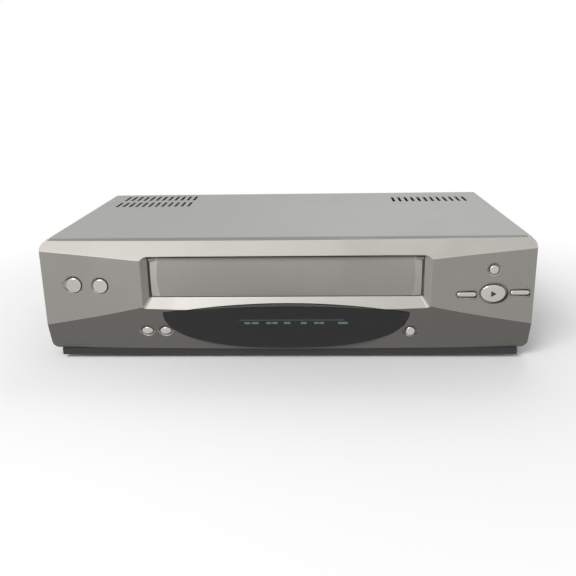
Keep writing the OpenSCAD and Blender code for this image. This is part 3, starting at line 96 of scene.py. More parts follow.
class Graph:
    """A node tree under construction, with short calls to add and join nodes."""

    def __init__(self, owner: Any) -> None:
        """Takes a node group, or a material or world whose tree it empties.

        Args:
            owner: what the nodes are for.
        """
        self.tree = owner
        if not isinstance(owner, NodeTree):
            owner.use_nodes = True
            self.tree = owner.node_tree
            self.tree.nodes.clear()

    def feed(self, socket: NodeSocket, value: Any) -> None:
        """Links a socket, or sets its own value.

        Args:
            socket: the input to fill.
            value: another node's output, or a plain value.
        """
        if isinstance(value, NodeSocket):
            self.tree.links.new(value, socket)
        else:
            socket.default_value = value

    def add(self, kind: str, settings: dict[str, Any] | None = None, **inputs: Any) -> Node:
        """Adds a node.

        Args:
            kind: the node's type name.
            settings: the node's own properties.
            **inputs: input values or links by name, with _ for a space.

        Returns:
            The new node.
        """
        node = self.tree.nodes.new(kind)
        for key, value in (settings or {}).items():
            setattr(node, key, value)
        for name, value in inputs.items():
            self.feed(node.inputs[name.replace("_", " ")], value)
        return node

    def maths(self, operation: str, *values: Any) -> NodeSocket:
        """Adds a Math node.

        Args:
            operation: the Math node's operation.
            *values: its inputs in order.

        Returns:
            The result's socket.
        """
        node = self.add("ShaderNodeMath", {"operation": operation})
        for socket, value in zip(node.inputs, values):
            self.feed(socket, value)
        return node.outputs[0]

    def tint(self, factor: Any, first: Any, second: Any, mode: str = "MIX") -> Any:
        """Mixes two colours.

        Args:
            factor: how much of the second shows.
            first: the first colour or its socket.
            second: the second colour or its socket.
            mode: the mixing mode.

        Returns:
            The mixed colour's socket.
        """
        node = self.add("ShaderNodeMix", {"data_type": "RGBA", "blend_type": mode})
        for index, value in ((0, factor), (6, first), (7, second)):
            if isinstance(value, tuple):
                value = (*value, 1.0)
            self.feed(node.inputs[index], value)
        return node.outputs[2]

    def toned(self, colour: Any, level: Any) -> Any:
        """Multiplies a colour by a grey level, both plain or sockets."""
        grey = self.add("ShaderNodeCombineColor", Red=level, Green=level, Blue=level)
        return self.tint(1.0, colour, grey.outputs[0], "MULTIPLY")

    def ramp(self, value: Any, low: float, high: float) -> NodeSocket:
        """Turns a value into a smooth mask.

        Args:
            value: the value's socket.
            low: where the mask is 0.
            high: where the mask is 1.

        Returns:
            The mask's socket.
        """
        smooth = {"interpolation_type": "SMOOTHSTEP", "clamp": True}
        node = self.add("ShaderNodeMapRange", smooth)
        for index, item in enumerate((value, low, high, 0.0, 1.0)):
            self.feed(node.inputs[index], item)
        return node.outputs[0]

    def noise(self, place: Any, scale: Any, **inputs: Any) -> NodeSocket:
        """Adds a noise and gives its level."""
        node = self.add("ShaderNodeTexNoise", Vector=place, Scale=scale, **inputs)
        return node.outputs["Fac"]

    def bump(self, shader: Node, height: Any, depth: float) -> None:
        """Raises a surface by a height map, at a depth in millimetres."""
        node = self.add("ShaderNodeBump", Strength=1.0, Distance=depth * MM, Height=height)
        self.feed(shader.inputs["Normal"], node.outputs[0])

    def mixed(self, factor: Any, first: Node, second: Node) -> Node:
        """Mixes two shaders.

        Args:
            factor: how much of the second shows.
            first: the first shader's node.
            second: the second shader's node.

        Returns:
            The mixing node.
        """
        node = self.add("ShaderNodeMixShader", Fac=factor)
        self.feed(node.inputs[1], first.outputs[0])
        self.feed(node.inputs[2], second.outputs[0])
        return node

    def rays(self, *kinds: str) -> NodeSocket:
        """Gives 1 for light paths of the named kinds.

        Args:
            *kinds: names out of Camera, Glossy and Transmission.

        Returns:
            The mask's socket.
        """
        path = self.add("ShaderNodeLightPath").outputs
        first, *others = (path[f"Is {kind} Ray"] for kind in kinds)
        for other in others:
            first = self.maths("ADD", first, other)
        return self.maths("MINIMUM", first, 1.0)

    def end(self, kind: str, shader: Node) -> None:
        """Joins the last shader to the tree's Material or World output."""
        output = self.add(f"ShaderNodeOutput{kind}")
        self.feed(output.inputs["Surface"], shader.outputs[0])


# The rays that see the background, which is white to them.
SEEN = ("Camera", "Glossy", "Transmission")


class Effect(Enum):
    """Shader effects that several finishes share, each a node group."""

    GRAIN = "fine_grain"
    PATCHES = "soft_patches"
    BRUSHING = "brushing"
    DUST = "settled_dust"
    TRACKS = "board_tracks"
    TURNING = "turned_rings"


# The noise node's own inputs, and where its mask begins and ends.
NOISES = {
    Effect.GRAIN: ({"Detail": 3.0, "Roughness": 0.65}, None),
    Effect.PATCHES: ({"Detail": 5.0, "Distortion": 0.6}, (0.36, 0.66)),
    Effect.BRUSHING: ({"Detail": 6.0, "Roughness": 0.75}, (0.3, 0.7)),
    Effect.DUST: ({"Detail": 6.0, "Roughness": 0.7}, (0.42, 0.72)),
    Effect.TURNING: ({"Detail": 4.0}, (0.35, 0.65)),
}
RING_PITCH = 1.3
DUST_SLOPE = (0.4, 0.98)
TRACKS_PER_CELL = 5.0
TRACK_EDGE = (0.46, 0.54)
PAD_EDGE = (0.11, 0.08)


def _sockets(group: NodeTree, sides: dict[str, dict[str, str]]) -> None:
    """Declares a group's inputs and outputs.

    Args:
        group: the node group.
        sides: INPUT and OUTPUT, each with socket names and their kinds.
    """
    for side, names in sides.items():
        for name, kind in names.items():
            group.interface.new_socket(name=name, in_out=side, socket_type=f"NodeSocket{kind}")


def _around(graph: Graph, place: Any) -> NodeSocket:
    """Turns a place into its distance from Z and its height, for rings.

    Args:
        graph: the graph to add to.
        place: the place's socket.

    Returns:
        The coordinates' socket.
    """
    x, y, z = graph.add("ShaderNodeSeparateXYZ", Vector=place).outputs
    squares = graph.maths("ADD", graph.maths("MULTIPLY", x, x), graph.maths("MULTIPLY", y, y))
    height = graph.maths("MULTIPLY", z, RING_PITCH)
    radius = graph.maths("SQRT", squares)
    return graph.add("ShaderNodeCombineXYZ", X=radius, Y=height).outputs[0]


def _tracks(graph: Graph, place: Any, scale: Any) -> NodeSocket:
    """Draws a board's tracks and pads.

    Args:
        graph: the graph to add to.
        place: the place's socket.
        scale: the cells' scale.

    Returns:
        A mask that is 1 on copper.
    """
    settings = {"distance": "CHEBYCHEV", "feature": "F1"}
    cells = graph.add("ShaderNodeTexVoronoi", settings, Vector=place, Scale=scale)
    away = cells.outputs["Distance"]
    bands = graph.maths("FRACT", graph.maths("MULTIPLY", away, TRACKS_PER_CELL))
    return graph.maths("MAXIMUM", graph.ramp(bands, *TRACK_EDGE), graph.ramp(away, *PAD_EDGE))


def effect_group(effect: Effect) -> NodeTree:
    """Builds one shared shader effect, or gives the one that is there.

    Args:
        effect: which effect.

    Returns:
        Its node group. Its outputs are masks, tones and heights only.
    """
    found = bpy.data.node_groups.get(effect.value)
    if found:
        return found
    group = bpy.data.node_groups.new(effect.value, "ShaderNodeTree")
    inputs = {"Vector": "Vector", "Size": "Float", "Depth": "Float"}
    outputs = {"Tone": "Float", "Height": "Float"}
    _sockets(group, {"INPUT": inputs, "OUTPUT": outputs})
    graph = Graph(group)
    place, size, depth = graph.add("NodeGroupInput").outputs[:3]
    scale = graph.maths("DIVIDE", 1 / MM, size)
    if effect is Effect.TURNING:
        place = _around(graph, place)
    if effect is Effect.TRACKS:
        height = _tracks(graph, place, scale)
    else:
        settings, mask = NOISES[effect]
        height = graph.noise(place, scale, **settings)
        if mask:
            height = graph.ramp(height, *mask)
    if effect is Effect.DUST:
        normal = graph.add("ShaderNodeNewGeometry").outputs["Normal"]
        up = graph.add("ShaderNodeSeparateXYZ", Vector=normal).outputs[2]
        height = graph.maths("MULTIPLY", graph.ramp(up, *DUST_SLOPE), height)
    if effect in (Effect.DUST, Effect.TRACKS):
        tone = graph.maths("MULTIPLY", height, depth)
    else:
        spread = graph.maths("SUBTRACT", height, 0.5)
        tone = graph.maths("ADD", 1.0, graph.maths("MULTIPLY", spread, depth))
    graph.add("NodeGroupOutput", Tone=tone, Height=height)
    return group


@dataclass(frozen=True)
class Finish:
    """A finish with a base colour, fine grain, soft patches, a light dust, and bevelled edges made
    paler, partly as wear and partly as a painted highlight.

    Sizes are millimetres and colours are linear.
    """

    name: str
    colour: Colour
    roughness: float = 0.5
    metallic: float = 0.0
    coat: float = 0.0
    grain: float = 0.5
    grain_tone: float = 0.1
    grain_bump: float = 0.01
    patch: float = 60.0
    patch_tone: float = 0.06
    rough_spread: float = 0.08
    dust: float = 0.0
    worn: float = 0.25
    coat_roughness: float = 0.12

    def material(self) -> Material:
        """Gives this finish's material, building it the first time.

        Returns:
            The material.
        """
        name = f"{self.name}_finish"
        found = bpy.data.materials.get(name)
        if found:
            return found
        made = bpy.data.materials.new(name)
        made.diffuse_color = (*self.colour, 1.0)
        graph = Graph(made)
        shader = graph.add("ShaderNodeBsdfPrincipled")
        graph.end("Material", shader)
        self.dress(graph, shader, graph.add("ShaderNodeTexCoord").outputs["Object"])
        return made

    def effect(
        self, graph: Graph, effect: Effect, place: Any, size: float, depth: float
    ) -> tuple[Any, Any]:
        """Places a shared effect in this material.

        Args:
            graph: the material's graph.
            effect: which effect.
            place: the coordinates that it reads.
            size: the feature size in millimetres.
            depth: how strong its tone is.

        Returns:
            The tone and height sockets.
        """
        group = {"node_tree": effect_group(effect)}
        node = graph.add("ShaderNodeGroup", group, Vector=place, Size=size, Depth=depth)
        return node.outputs["Tone"], node.outputs["Height"]

    def texture(self, graph: Graph, place: Any) -> tuple[Any, Any]:
        """Gives the tone and height of this kind of finish's fine pattern."""
        return self.effect(graph, Effect.GRAIN, place, self.grain, self.grain_tone)

    def base(self, graph: Graph, place: Any) -> Any:
        """Gives the colour before grain and patches, as a colour or a socket."""
        return self.colour

    def uneven(self, graph: Graph, low: float, cloud: Any) -> Any:
        """Gives a roughness that rises from its low value with the patches."""
        return graph.maths("ADD", low, graph.maths("MULTIPLY", cloud, self.rough_spread))

    def dress(self, graph: Graph, shader: Node, place: Any) -> None:
        """Fills in the shader.

        Args:
            graph: the material's graph.
            shader: its Principled shader.
            place: object coordinates.
        """
        shader.inputs["Metallic"].default_value = self.metallic
        shader.inputs["Coat Weight"].default_value = self.coat
        shader.inputs["Coat Roughness"].default_value = self.coat_roughness
        tone, height = self.texture(graph, place)
        patches, cloud = self.effect(graph, Effect.PATCHES, place, self.patch, self.patch_tone)
        colour = graph.toned(self.base(graph, place), graph.maths("MULTIPLY", tone, patches))
        # Bevelled edges turn paler, partly as wear and partly as a painted highlight.
        worn = graph.add("ShaderNodeAttribute", {"attribute_name": "worn"}).outputs["Fac"]
        pale = tuple(min(1.0, c * PALE_GAIN + PALE_LIFT) for c in self.colour)
        colour = graph.tint(graph.maths("MULTIPLY", worn, self.worn), colour, pale)
        rough = self.uneven(graph, self.roughness - self.rough_spread / 2, cloud)
        if self.dust:
            dust, _ = self.effect(graph, Effect.DUST, place, DUST_SIZE, self.dust)
            colour = graph.tint(dust, colour, DUST_COLOUR)
            rough = graph.maths("ADD", rough, graph.maths("MULTIPLY", dust, DUST_ROUGHNESS))
        graph.feed(shader.inputs["Base Color"], colour)
        graph.feed(shader.inputs["Roughness"], rough)
        graph.bump(shader, height, self.grain_bump)


class Way(Enum):
    """The direction in which a sheet was brushed or rolled, as a stretch."""

    ACROSS = (0.03, 1.0, 1.0)
    BACK = (1.0, 0.03, 1.0)
    UP = (1.0, 1.0, 0.03)


@dataclass(frozen=True)
class RolledMetal(Finish):
    """Plated or brushed sheet with fine marks along one direction."""

    metallic: float = 0.95
    grain_bump: float = 0.003
    way: Way = Way.ACROSS

    def texture(self, graph: Graph, place: Any) -> tuple[Any, Any]:
        """Gives marks that run along the sheet's rolling direction."""
        along = graph.add("ShaderNodeMapping", Vector=place, Scale=self.way.value).outputs[0]
        return self.effect(graph, Effect.BRUSHING, along, self.grain, self.grain_tone)


@dataclass(frozen=True)
class TurnedMetal(Finish):
    """Metal turned on a lathe about an upright or nearly upright axis."""

    metallic: float = 1.0
    grain_bump: float = 0.004
    centre: Spot = (0.0, 0.0, 0.0)
    tilt: float = 0.0

    def texture(self, graph: Graph, place: Any) -> tuple[Any, Any]:
        """Gives tool marks in rings about the axis."""
        for moves in (
            {"Location": [-c * MM for c in self.centre]},
            {"Rotation": (math.radians(self.tilt), 0.0, 0.0)},
        ):
            place = graph.add("ShaderNodeMapping", Vector=place, **moves).outputs[0]
        return self.effect(graph, Effect.TURNING, place, self.grain, self.grain_tone)


@dataclass(frozen=True)
class BoardFinish(Finish):
    """Lacquered circuit board whose tracks show through."""

    track: Colour = (0.1, 0.3, 0.2)
    pitch: float = 14.0

    def base(self, graph: Graph, place: Any) -> Any:
        """Gives the board's colour with its tracks."""
        tracks, _ = self.effect(graph, Effect.TRACKS, place, self.pitch, 1.0)
        return graph.tint(tracks, self.colour, self.track)


@dataclass(frozen=True)
class StripedFinish(Finish):
    """Flat cable whose wires show as narrow stripes across X."""

    stripe: Colour = (0.5, 0.5, 0.5)
    pitch: float = 1.25
    edge: tuple[float, float] = (0.36, 0.46)

    def base(self, graph: Graph, place: Any) -> Any:
        """Gives the cable's colour with a line between each two wires.

        Args:
            graph: the material's graph.
            place: object coordinates.

        Returns:
            The colour's socket.
        """
        across = graph.add("ShaderNodeSeparateXYZ", Vector=place).outputs[0]
        part = graph.maths("FRACT", graph.maths("DIVIDE", across, self.pitch * MM))
        middle = graph.maths("ABSOLUTE", graph.maths("SUBTRACT", part, 0.5))
        return graph.tint(graph.ramp(middle, *self.edge), self.colour, self.stripe)


@dataclass(frozen=True)
class SmokedGlass(Finish):
    """Clear moulding tinted nearly black, through which a lit display shows."""

    see_through: float = 0.9
    bend: float = 1.38

    def dress(self, graph: Graph, shader: Node, place: Any) -> None:
        """Fills in the shader with tinted transmission and faint smears.

        Args:
            graph: the material's graph.
            shader: its Principled shader.
            place: object coordinates.
        """
        shader.inputs["Transmission Weight"].default_value = self.see_through
        shader.inputs["IOR"].default_value = self.bend
        shader.inputs["Metallic"].default_value = 0.0
        patches, cloud = self.effect(graph, Effect.PATCHES, place, self.patch, self.patch_tone)
        graph.feed(shader.inputs["Base Color"], graph.toned(self.colour, patches))
        graph.feed(shader.inputs["Roughness"], self.uneven(graph, self.roughness, cloud))
        _, height = self.effect(graph, Effect.GRAIN, place, self.grain, 0.0)
        graph.bump(shader, height, self.grain_bump)


@dataclass(frozen=True)
class LitFinish(Finish):
    """Phosphor that gives off a faint light of its own."""

    glow: float = 1.0
    dot: float = 1.2
    dot_tone: float = 0.5

    def dress(self, graph: Graph, shader: Node, place: Any) -> None:
        """Fills in the shader, with an uneven glow.

        Args:
            graph: the material's graph.
            shader: its Principled shader.
            place: object coordinates.
        """
        super().dress(graph, shader, place)
        level, _ = self.effect(graph, Effect.GRAIN, place, self.dot, self.dot_tone)
        graph.feed(shader.inputs["Emission Color"], graph.toned(self.colour, level))
        shader.inputs["Emission Strength"].default_value = self.glow


# ---- finishes ----

SILVER = dict(metallic=0.12, roughness=0.45, grain=0.35, grain_tone=0.16, grain_bump=0.012)
# A lighter copy of the face's silver for faces turned up: a painted highlight.
LIT_TOP_SILVER = Finish("silver_top_lit", shade(181, 178, 171), **SILVER, dust=0.1)
FACE_SILVER = Finish("silver_face", shade(147, 145, 139), **SILVER)
# A darker copy of the face's silver for the low facet and faces turned down: partly two-tone paint
# and partly painted shade.
SHADED_LOW_SILVER = Finish("silver_low_shaded", shade(100, 98, 94), **SILVER)
DOOR_SILVER = Finish("silver_door", shade(148, 146, 140), **SILVER)
# A paler copy of the door's silver for its end facets: a painted highlight.
LIT_DOOR_END = Finish("silver_door_end_lit", shade(172, 170, 164), **SILVER)
BARE_GREY = Finish("bare_grey", shade(116, 115, 111), 0.6, grain=0.8, grain_bump=0.02)
BUTTON_SILVER = Finish(
    "silver_button", shade(186, 184, 179), 0.22, 0.75, 0.3, 0.4, 0.08, 0.004
)
COVER_PAINT = Finish(
    "cover_paint", shade(148, 148, 144), 0.5, 0.12, grain=0.7, grain_tone=0.16,
    grain_bump=0.035, dust=0.18,
)
SMOKED = SmokedGlass(
    "smoked_clear", (0.055, 0.055, 0.058), 0.02, grain=14.0, rough_spread=0.03,
    grain_bump=0.001,
)
BLACK = Finish("moulded_black", shade(31, 31, 32), 0.55, grain=0.6, grain_bump=0.03)
BLACK_STEEL = Finish("blackened_steel", shade(46, 46, 47), 0.38, 0.7, grain_bump=0.004)
RUBBER = Finish("black_rubber", shade(27, 27, 28), 0.85, grain=0.3, grain_bump=0.02)
SHEET = dict(roughness=0.36, metallic=0.85, grain_tone=0.12)
ZINC_ACROSS = RolledMetal(
    "zinc_across", shade(178, 179, 178), **SHEET, patch=40.0, patch_tone=0.05
)
ZINC_BACK = RolledMetal(
    "zinc_back", shade(174, 176, 176), **SHEET, patch=30.0, patch_tone=0.08,
    rough_spread=0.1, way=Way.BACK,
)
YELLOW_ZINC = Finish("yellow_zinc", shade(190, 168, 104), 0.3, 0.95, grain_bump=0.003)
STEEL = Finish(
    "polished_steel", shade(196, 197, 199), 0.14, 1.0, grain_tone=0.04, grain_bump=0.001
)
GREY_STEEL = RolledMetal("grey_steel", shade(142, 142, 144), 0.32, grain=0.4, way=Way.UP)
TIN = RolledMetal(
    "tinned_steel", shade(198, 198, 194), 0.24, grain=0.7, patch=14.0, patch_tone=0.12
)
NICKEL = Finish("nickel", shade(204, 200, 190), 0.16, 1.0, grain_tone=0.05, grain_bump=0.001)
COPPER = Finish(
    "copper_wire", shade(176, 98, 58), 0.3, 0.95, grain=0.3, grain_tone=0.4, grain_bump=0.05
)
BRASS = Finish("brass", shade(198, 166, 96), 0.25, 1.0, grain_bump=0.002)
DRUM_METAL = TurnedMetal(
    "turned_drum", shade(206, 206, 208), 0.2, grain=0.35, grain_tone=0.12,
    centre=(0.0, 66.0, 39.2), tilt=6.0,
)
FLYWHEEL = TurnedMetal(
    "turned_flywheel", shade(170, 170, 172), 0.26, grain_tone=0.14, centre=(54.0, 40.0, 0.0)
)
ALUMINIUM = RolledMetal(
    "drawn_aluminium", shade(176, 178, 180), 0.32, grain_bump=0.004, way=Way.UP
)
CREAM = Finish("moulded_cream", shade(222, 217, 204), 0.42, grain=0.9, grain_tone=0.04)
WHITE = Finish("moulded_white", shade(228, 227, 222), 0.4, grain=0.9, grain_tone=0.04)
CHIP = Finish("chip_black", shade(38, 38, 40), 0.5, grain=0.25, grain_bump=0.015)
SLEEVE = dict(roughness=0.3, grain_tone=0.05, grain_bump=0.003)
BLUE_SLEEVE = Finish("sleeve_blue", shade(40, 50, 92), **SLEEVE)
DARK_SLEEVE = Finish("sleeve_dark", shade(36, 34, 40), **SLEEVE)
YELLOW_TAPE = Finish("winding_tape", shade(206, 168, 66), 0.35, grain=1.4, grain_bump=0.02)
FERRITE = Finish("ferrite_core", shade(58, 56, 55), 0.6, grain_bump=0.03)
RED_DARK = Finish("receiver_red", shade(42, 18, 24), 0.16, grain_tone=0.03, grain_bump=0.001)
GREEN_BOARD = BoardFinish("lacquered_green", shade(24, 78, 50), 0.32, track=shade(48, 122, 76))
TAN_BOARD = BoardFinish(
    "lacquered_tan", shade(158, 122, 74), 0.45, track=shade(128, 88, 46), pitch=18.0
)
RIBBON = StripedFinish("ribbon_white", shade(222, 220, 212), 0.45, stripe=shade(150, 150, 146))
DISPLAY = Finish("display_face", shade(40, 50, 50), 0.12, grain_tone=0.3, grain_bump=0.001)
GLYPH = LitFinish("display_phosphor", shade(172, 214, 206), 0.4, glow=5.0)
INK = Finish("dark_mark", shade(40, 39, 38), 0.45, grain_bump=0.002)
JACK_COLOURS = {
    row: Finish(f"jack_{name}", colour, 0.3, grain_tone=0.04, grain_bump=0.004)
    for row, name, colour in (
        ("right", "red", shade(176, 30, 28)),
        ("left", "white", shade(226, 224, 216)),
        ("picture", "yellow", shade(226, 184, 30)),
    )
}
RESISTOR = Finish("resistor_body", shade(196, 170, 128), 0.4, grain=0.6, grain_tone=0.5)
CERAMIC = Finish("ceramic_disc", shade(186, 122, 60), 0.45, grain=0.7)


# ---- shared ways of making and choosing ----


def mesh_object(name: str, mesh: Mesh, finishes: Iterable[Finish]) -> Object:
    """Puts a mesh in the scene with its finishes as material slots.

    Args:
        name: the piece's name.
        mesh: its mesh, already in place.
        finishes: its finishes in slot order.

    Returns:
        The new object, at the origin.
    """
    piece = bpy.data.objects.new(name, mesh)
    bpy.context.scene.collection.objects.link(piece)
    mesh.materials.clear()
    for finish in finishes:
        mesh.materials.append(finish.material())
    return piece


def saved(name: str, work: BMesh) -> Mesh:
    """Turns a mesh under construction, which is used up, into a named mesh."""
    mesh = bpy.data.meshes.new(name)
    work.to_mesh(mesh)
    work.free()
    return mesh


def weld(work: BMesh) -> None:
    """Merges the points that lie on each other."""
    bmesh.ops.remove_doubles(work, verts=work.verts, dist=WELD)


def fill(work: BMesh, rows: Sequence[Sequence[BMVert]]) -> None:
    """Fills a net of points with faces, past its empty rows, and welds it.

    Args:
        work: the mesh that holds the points.
        rows: the points, row by row, each row full or empty.
    """
    for here, there in zip(rows, rows[1:]):
        if here and there:
            for k in range(len(here) - 1):
                work.faces.new((here[k], there[k], there[k + 1], here[k + 1]))
    weld(work)


def crease(work: BMesh, angle: float = 30.0) -> None:
    """Smooths a mesh except at its corners.

    Args:
        work: the mesh.
        angle: the least turn in degrees that stays sharp.
    """
    limit = math.radians(angle)
    for face in work.faces:
        face.smooth = True
    for edge in work.edges:
        edge.smooth = edge.is_manifold and edge.calc_face_angle(0.0) < limit


def between(low: float, high: float = math.inf) -> Chooser:
    """Makes a chooser of finish 1 for faces between two heights."""
    return lambda centre, normal: int(low < centre.z < high)


def within(spot: Vector, area: Area) -> bool:
    """Tells whether a spot lies inside an area's X and Y limits."""
    return all(low < value < high for value, (low, high) in zip(spot, area))


def button_names() -> list[str]:
    """Gives the names of the button nodes, in order."""
    return sorted(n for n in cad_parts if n.endswith("_button"))


@dataclass
class SubAssembly:
    """A group of pieces that are dressed together.

    Subclasses hold sizes in millimetres and fill in build().
    """

    body: str = "chassis"

    def build(self) -> None:
        """Makes and dresses this sub-assembly's pieces."""
        raise NotImplementedError

    def report(self, piece: Object) -> None:
        """Logs a finished piece with its face count."""
        LOG.info("%s: %s, %d faces", type(self).__name__, piece.name, len(piece.data.polygons))

    def dress(self, node: str, finish: Finish) -> None:
        """Gives a CAD node that keeps its own mesh a finish.

        Args:
            node: the CAD node.
            finish: its finish.
        """
        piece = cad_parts[node]
        piece.data.materials.clear()
        piece.data.materials.append(finish.material())
        self.report(piece)

    def recast(
        self, node: str, finishes: Sequence[Finish], slot: str | None = None,
        bevel: float = 0.0, choose: Chooser | None = None, body: str | None = None,
        corner: float = 30.0, sharp: float = 30.0, least: float = 0.4, steps: int = 2,
        ahead: float = math.inf,
    ) -> Object:
        """Replaces a CAD node with a welded copy that has softened edges.

        Args:
            node: the CAD node.
            finishes: the copy's finishes.
            slot: not used.
            bevel: width of the softened edges in millimetres.
            choose: picks a finish for a face from its centre in millimetres
                and its normal.
            body: the CAD body, if it isn't this sub-assembly's own.
            corner: the least turn in degrees that is softened.
            sharp: the least turn in degrees that stays a crisp line.
            least: the shortest edge in millimetres that is softened.
            steps: how many strips a softened edge has.
            ahead: softens only edges in front of this Y, in millimetres.

        Returns:
            The new piece.
        """
        work = bmesh.new()
        work.from_mesh(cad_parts[node].data)
        weld(work)
        bmesh.ops.dissolve_limit(
            work, angle_limit=math.radians(0.3), verts=work.verts, edges=work.edges
        )
        # Marks the bevelled strips for a paler colour, partly wear and partly a painted highlight.
        layer = work.loops.layers.float.new("worn")
        if bevel:
            limit = math.radians(corner)
            edges = [
                e
                for e in work.edges
                if e.is_manifold
                and e.calc_face_angle(0.0) > limit
                and e.calc_length() > least * MM
                and max(v.co.y for v in e.verts) < ahead * MM
            ]
            made = bmesh.ops.bevel(
                work, geom=edges, offset=bevel * MM, segments=steps, profile=0.5,
                affect="EDGES", clamp_overlap=False, offset_type="OFFSET",
            )
            for loop in (loop for face in made["faces"] for loop in face.loops):
                loop[layer] = 1.0
        crease(work, sharp)
        if choose:
            for face in work.faces:
                centre = face.calc_center_median() / MM
                face.material_index = choose(centre, face.normal)
        # The finishes go on first, because adding them clears the faces' choices.
        piece = mesh_object(f"{node}_dressed", bpy.data.meshes.new(node), finishes)
        work.to_mesh(piece.data)
        work.free()
        even = piece.modifiers.new("even_shading", "WEIGHTED_NORMAL")
        even.keep_sharp = True
        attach(piece, body or self.body)
        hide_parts(node)
        self.report(piece)
        return piece

    def film(
        self, name: str, work: BMesh, finish: Finish, thick: float, body: str, slot: str
    ) -> None:
        """Makes a thin piece from an open skin.

        Args:
            name: the piece's name.
            work: the skin, which is used up.
            finish: its finish.
            thick: how thick it is in millimetres.
            body: the CAD body that it rides on.
            slot: not used.
        """
        piece = mesh_object(name, saved(name, work), [finish])
        solid = piece.modifiers.new("thickness", "SOLIDIFY")
        solid.thickness = thick * MM
        solid.offset = 0.0
        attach(piece, body)
        self.report(piece)


@dataclass
class Studio:
    """The floor, the lamps, the world and the camera."""

    azimuth: float = 2.5
    elevation: float = 17.0
    roll: float = -1.0
    distance: float = 560.0
    focal: float = 44.0
    target: Spot = (0.0, -60.0, 44.0)
    lamps: tuple[tuple[str, Spot, float, float], ...] = (
        ("key_lamp", (-520, -1040, 960), 700, 17.0),
        ("back_lamp", (300, 900, 1100), 900, 5.0),
    )
    floor_radius: float = 4000.0
    white_from: float = 140.0
    white_past: float = 460.0
    floor_grey: float = 0.9
    bounce_grey: float = 0.3
    soft_light: float = 0.3

    def build(self) -> None:
        """Makes the whole studio."""
        self.floor()
        self.world()
        for lamp in self.lamps:
            self.lamp(*lamp)
        self.camera()

    def floor(self) -> None:
        """Lays a pale floor that keeps the shadow and fades to white.

        It is clear from below and for stray light, so the underside is lit too.
        """
        work = bmesh.new()
        bmesh.ops.create_circle(work, cap_ends=True, segments=64, radius=self.floor_radius * MM)
        piece = mesh_object("floor", saved("floor", work), [])
        made = bpy.data.materials.new("studio_floor")
        graph = Graph(made)
        reach = graph.add("ShaderNodeVectorMath", {"operation": "LENGTH"})
        graph.feed(reach.inputs[0], graph.add("ShaderNodeTexCoord").outputs["Object"])
        far = graph.ramp(reach.outputs["Value"], self.white_from * MM, self.white_past * MM)
        seen = graph.rays(*SEEN)
        matt = graph.add("ShaderNodeBsdfPrincipled", Roughness=0.9)
        pale = graph.tint(seen, (self.bounce_grey,) * 3, (self.floor_grey,) * 3)
        graph.feed(matt.inputs["Base Color"], pale)
        white = graph.add("ShaderNodeEmission", Color=(1, 1, 1, 1), Strength=1.0)
        upper = graph.mixed(graph.maths("MULTIPLY", far, seen), matt, white)
        above = graph.maths(
            "SUBTRACT", 1.0, graph.add("ShaderNodeNewGeometry").outputs["Backfacing"]
        )
        kept = graph.maths("MULTIPLY", above, graph.rays("Camera", "Transmission"))
        clear = graph.add("ShaderNodeBsdfTransparent")
        passing = graph.maths("SUBTRACT", 1.0, kept)
        graph.end("Material", graph.mixed(passing, upper, clear))
        piece.data.materials.append(made)

    def world(self) -> None:
        """Lights the scene evenly, with white where the background shows."""
        world = bpy.data.worlds.new("studio_world")
        bpy.context.scene.world = world
        graph = Graph(world)
        soft, white = (
            graph.add("ShaderNodeBackground", Color=(1, 1, 1, 1), Strength=strength)
            for strength in (self.soft_light, 1.0)
        )
        graph.end("World", graph.mixed(graph.rays(*SEEN), soft, white))

    def lamp(self, name: str, place: Spot, size: float, power: float) -> None:
        """Hangs a soft square lamp that faces the object.

        Args:
            name: the lamp's name.
            place: where it hangs, in millimetres.
            size: the length of its sides in millimetres.
            power: its power in watts.
        """
        light = bpy.data.lights.new(name, "AREA")
        light.size = size * MM
        light.energy = power
        lamp = bpy.data.objects.new(name, light)
        lamp.location = Vector(place) * MM
        way = Vector(self.target) * MM - lamp.location
        lamp.rotation_euler = way.to_track_quat("-Z", "Y").to_euler()
        bpy.context.scene.collection.objects.link(lamp)

    def camera(self) -> None:
        """Sets the camera at the viewing angle of the photograph."""
        lens = bpy.data.cameras.new("camera")
        lens.lens = self.focal
        lens.sensor_width = 36.0
        lens.clip_start = 0.02
        camera = bpy.data.objects.new("camera", lens)
        turn, lift = math.radians(self.azimuth), math.radians(self.elevation)
        away = Vector(
            (math.sin(turn) * math.cos(lift), -math.cos(turn) * math.cos(lift), math.sin(lift))
        )
        camera.location = (Vector(self.target) + away * self.distance) * MM
        look = (-away).to_track_quat("-Z", "Y").to_matrix().to_4x4()
        spin = Matrix.Rotation(math.radians(self.roll), 4, "Z")
        camera.rotation_euler = (look @ spin).to_euler()
        bpy.context.scene.collection.objects.link(camera)
        bpy.context.scene.camera = camera


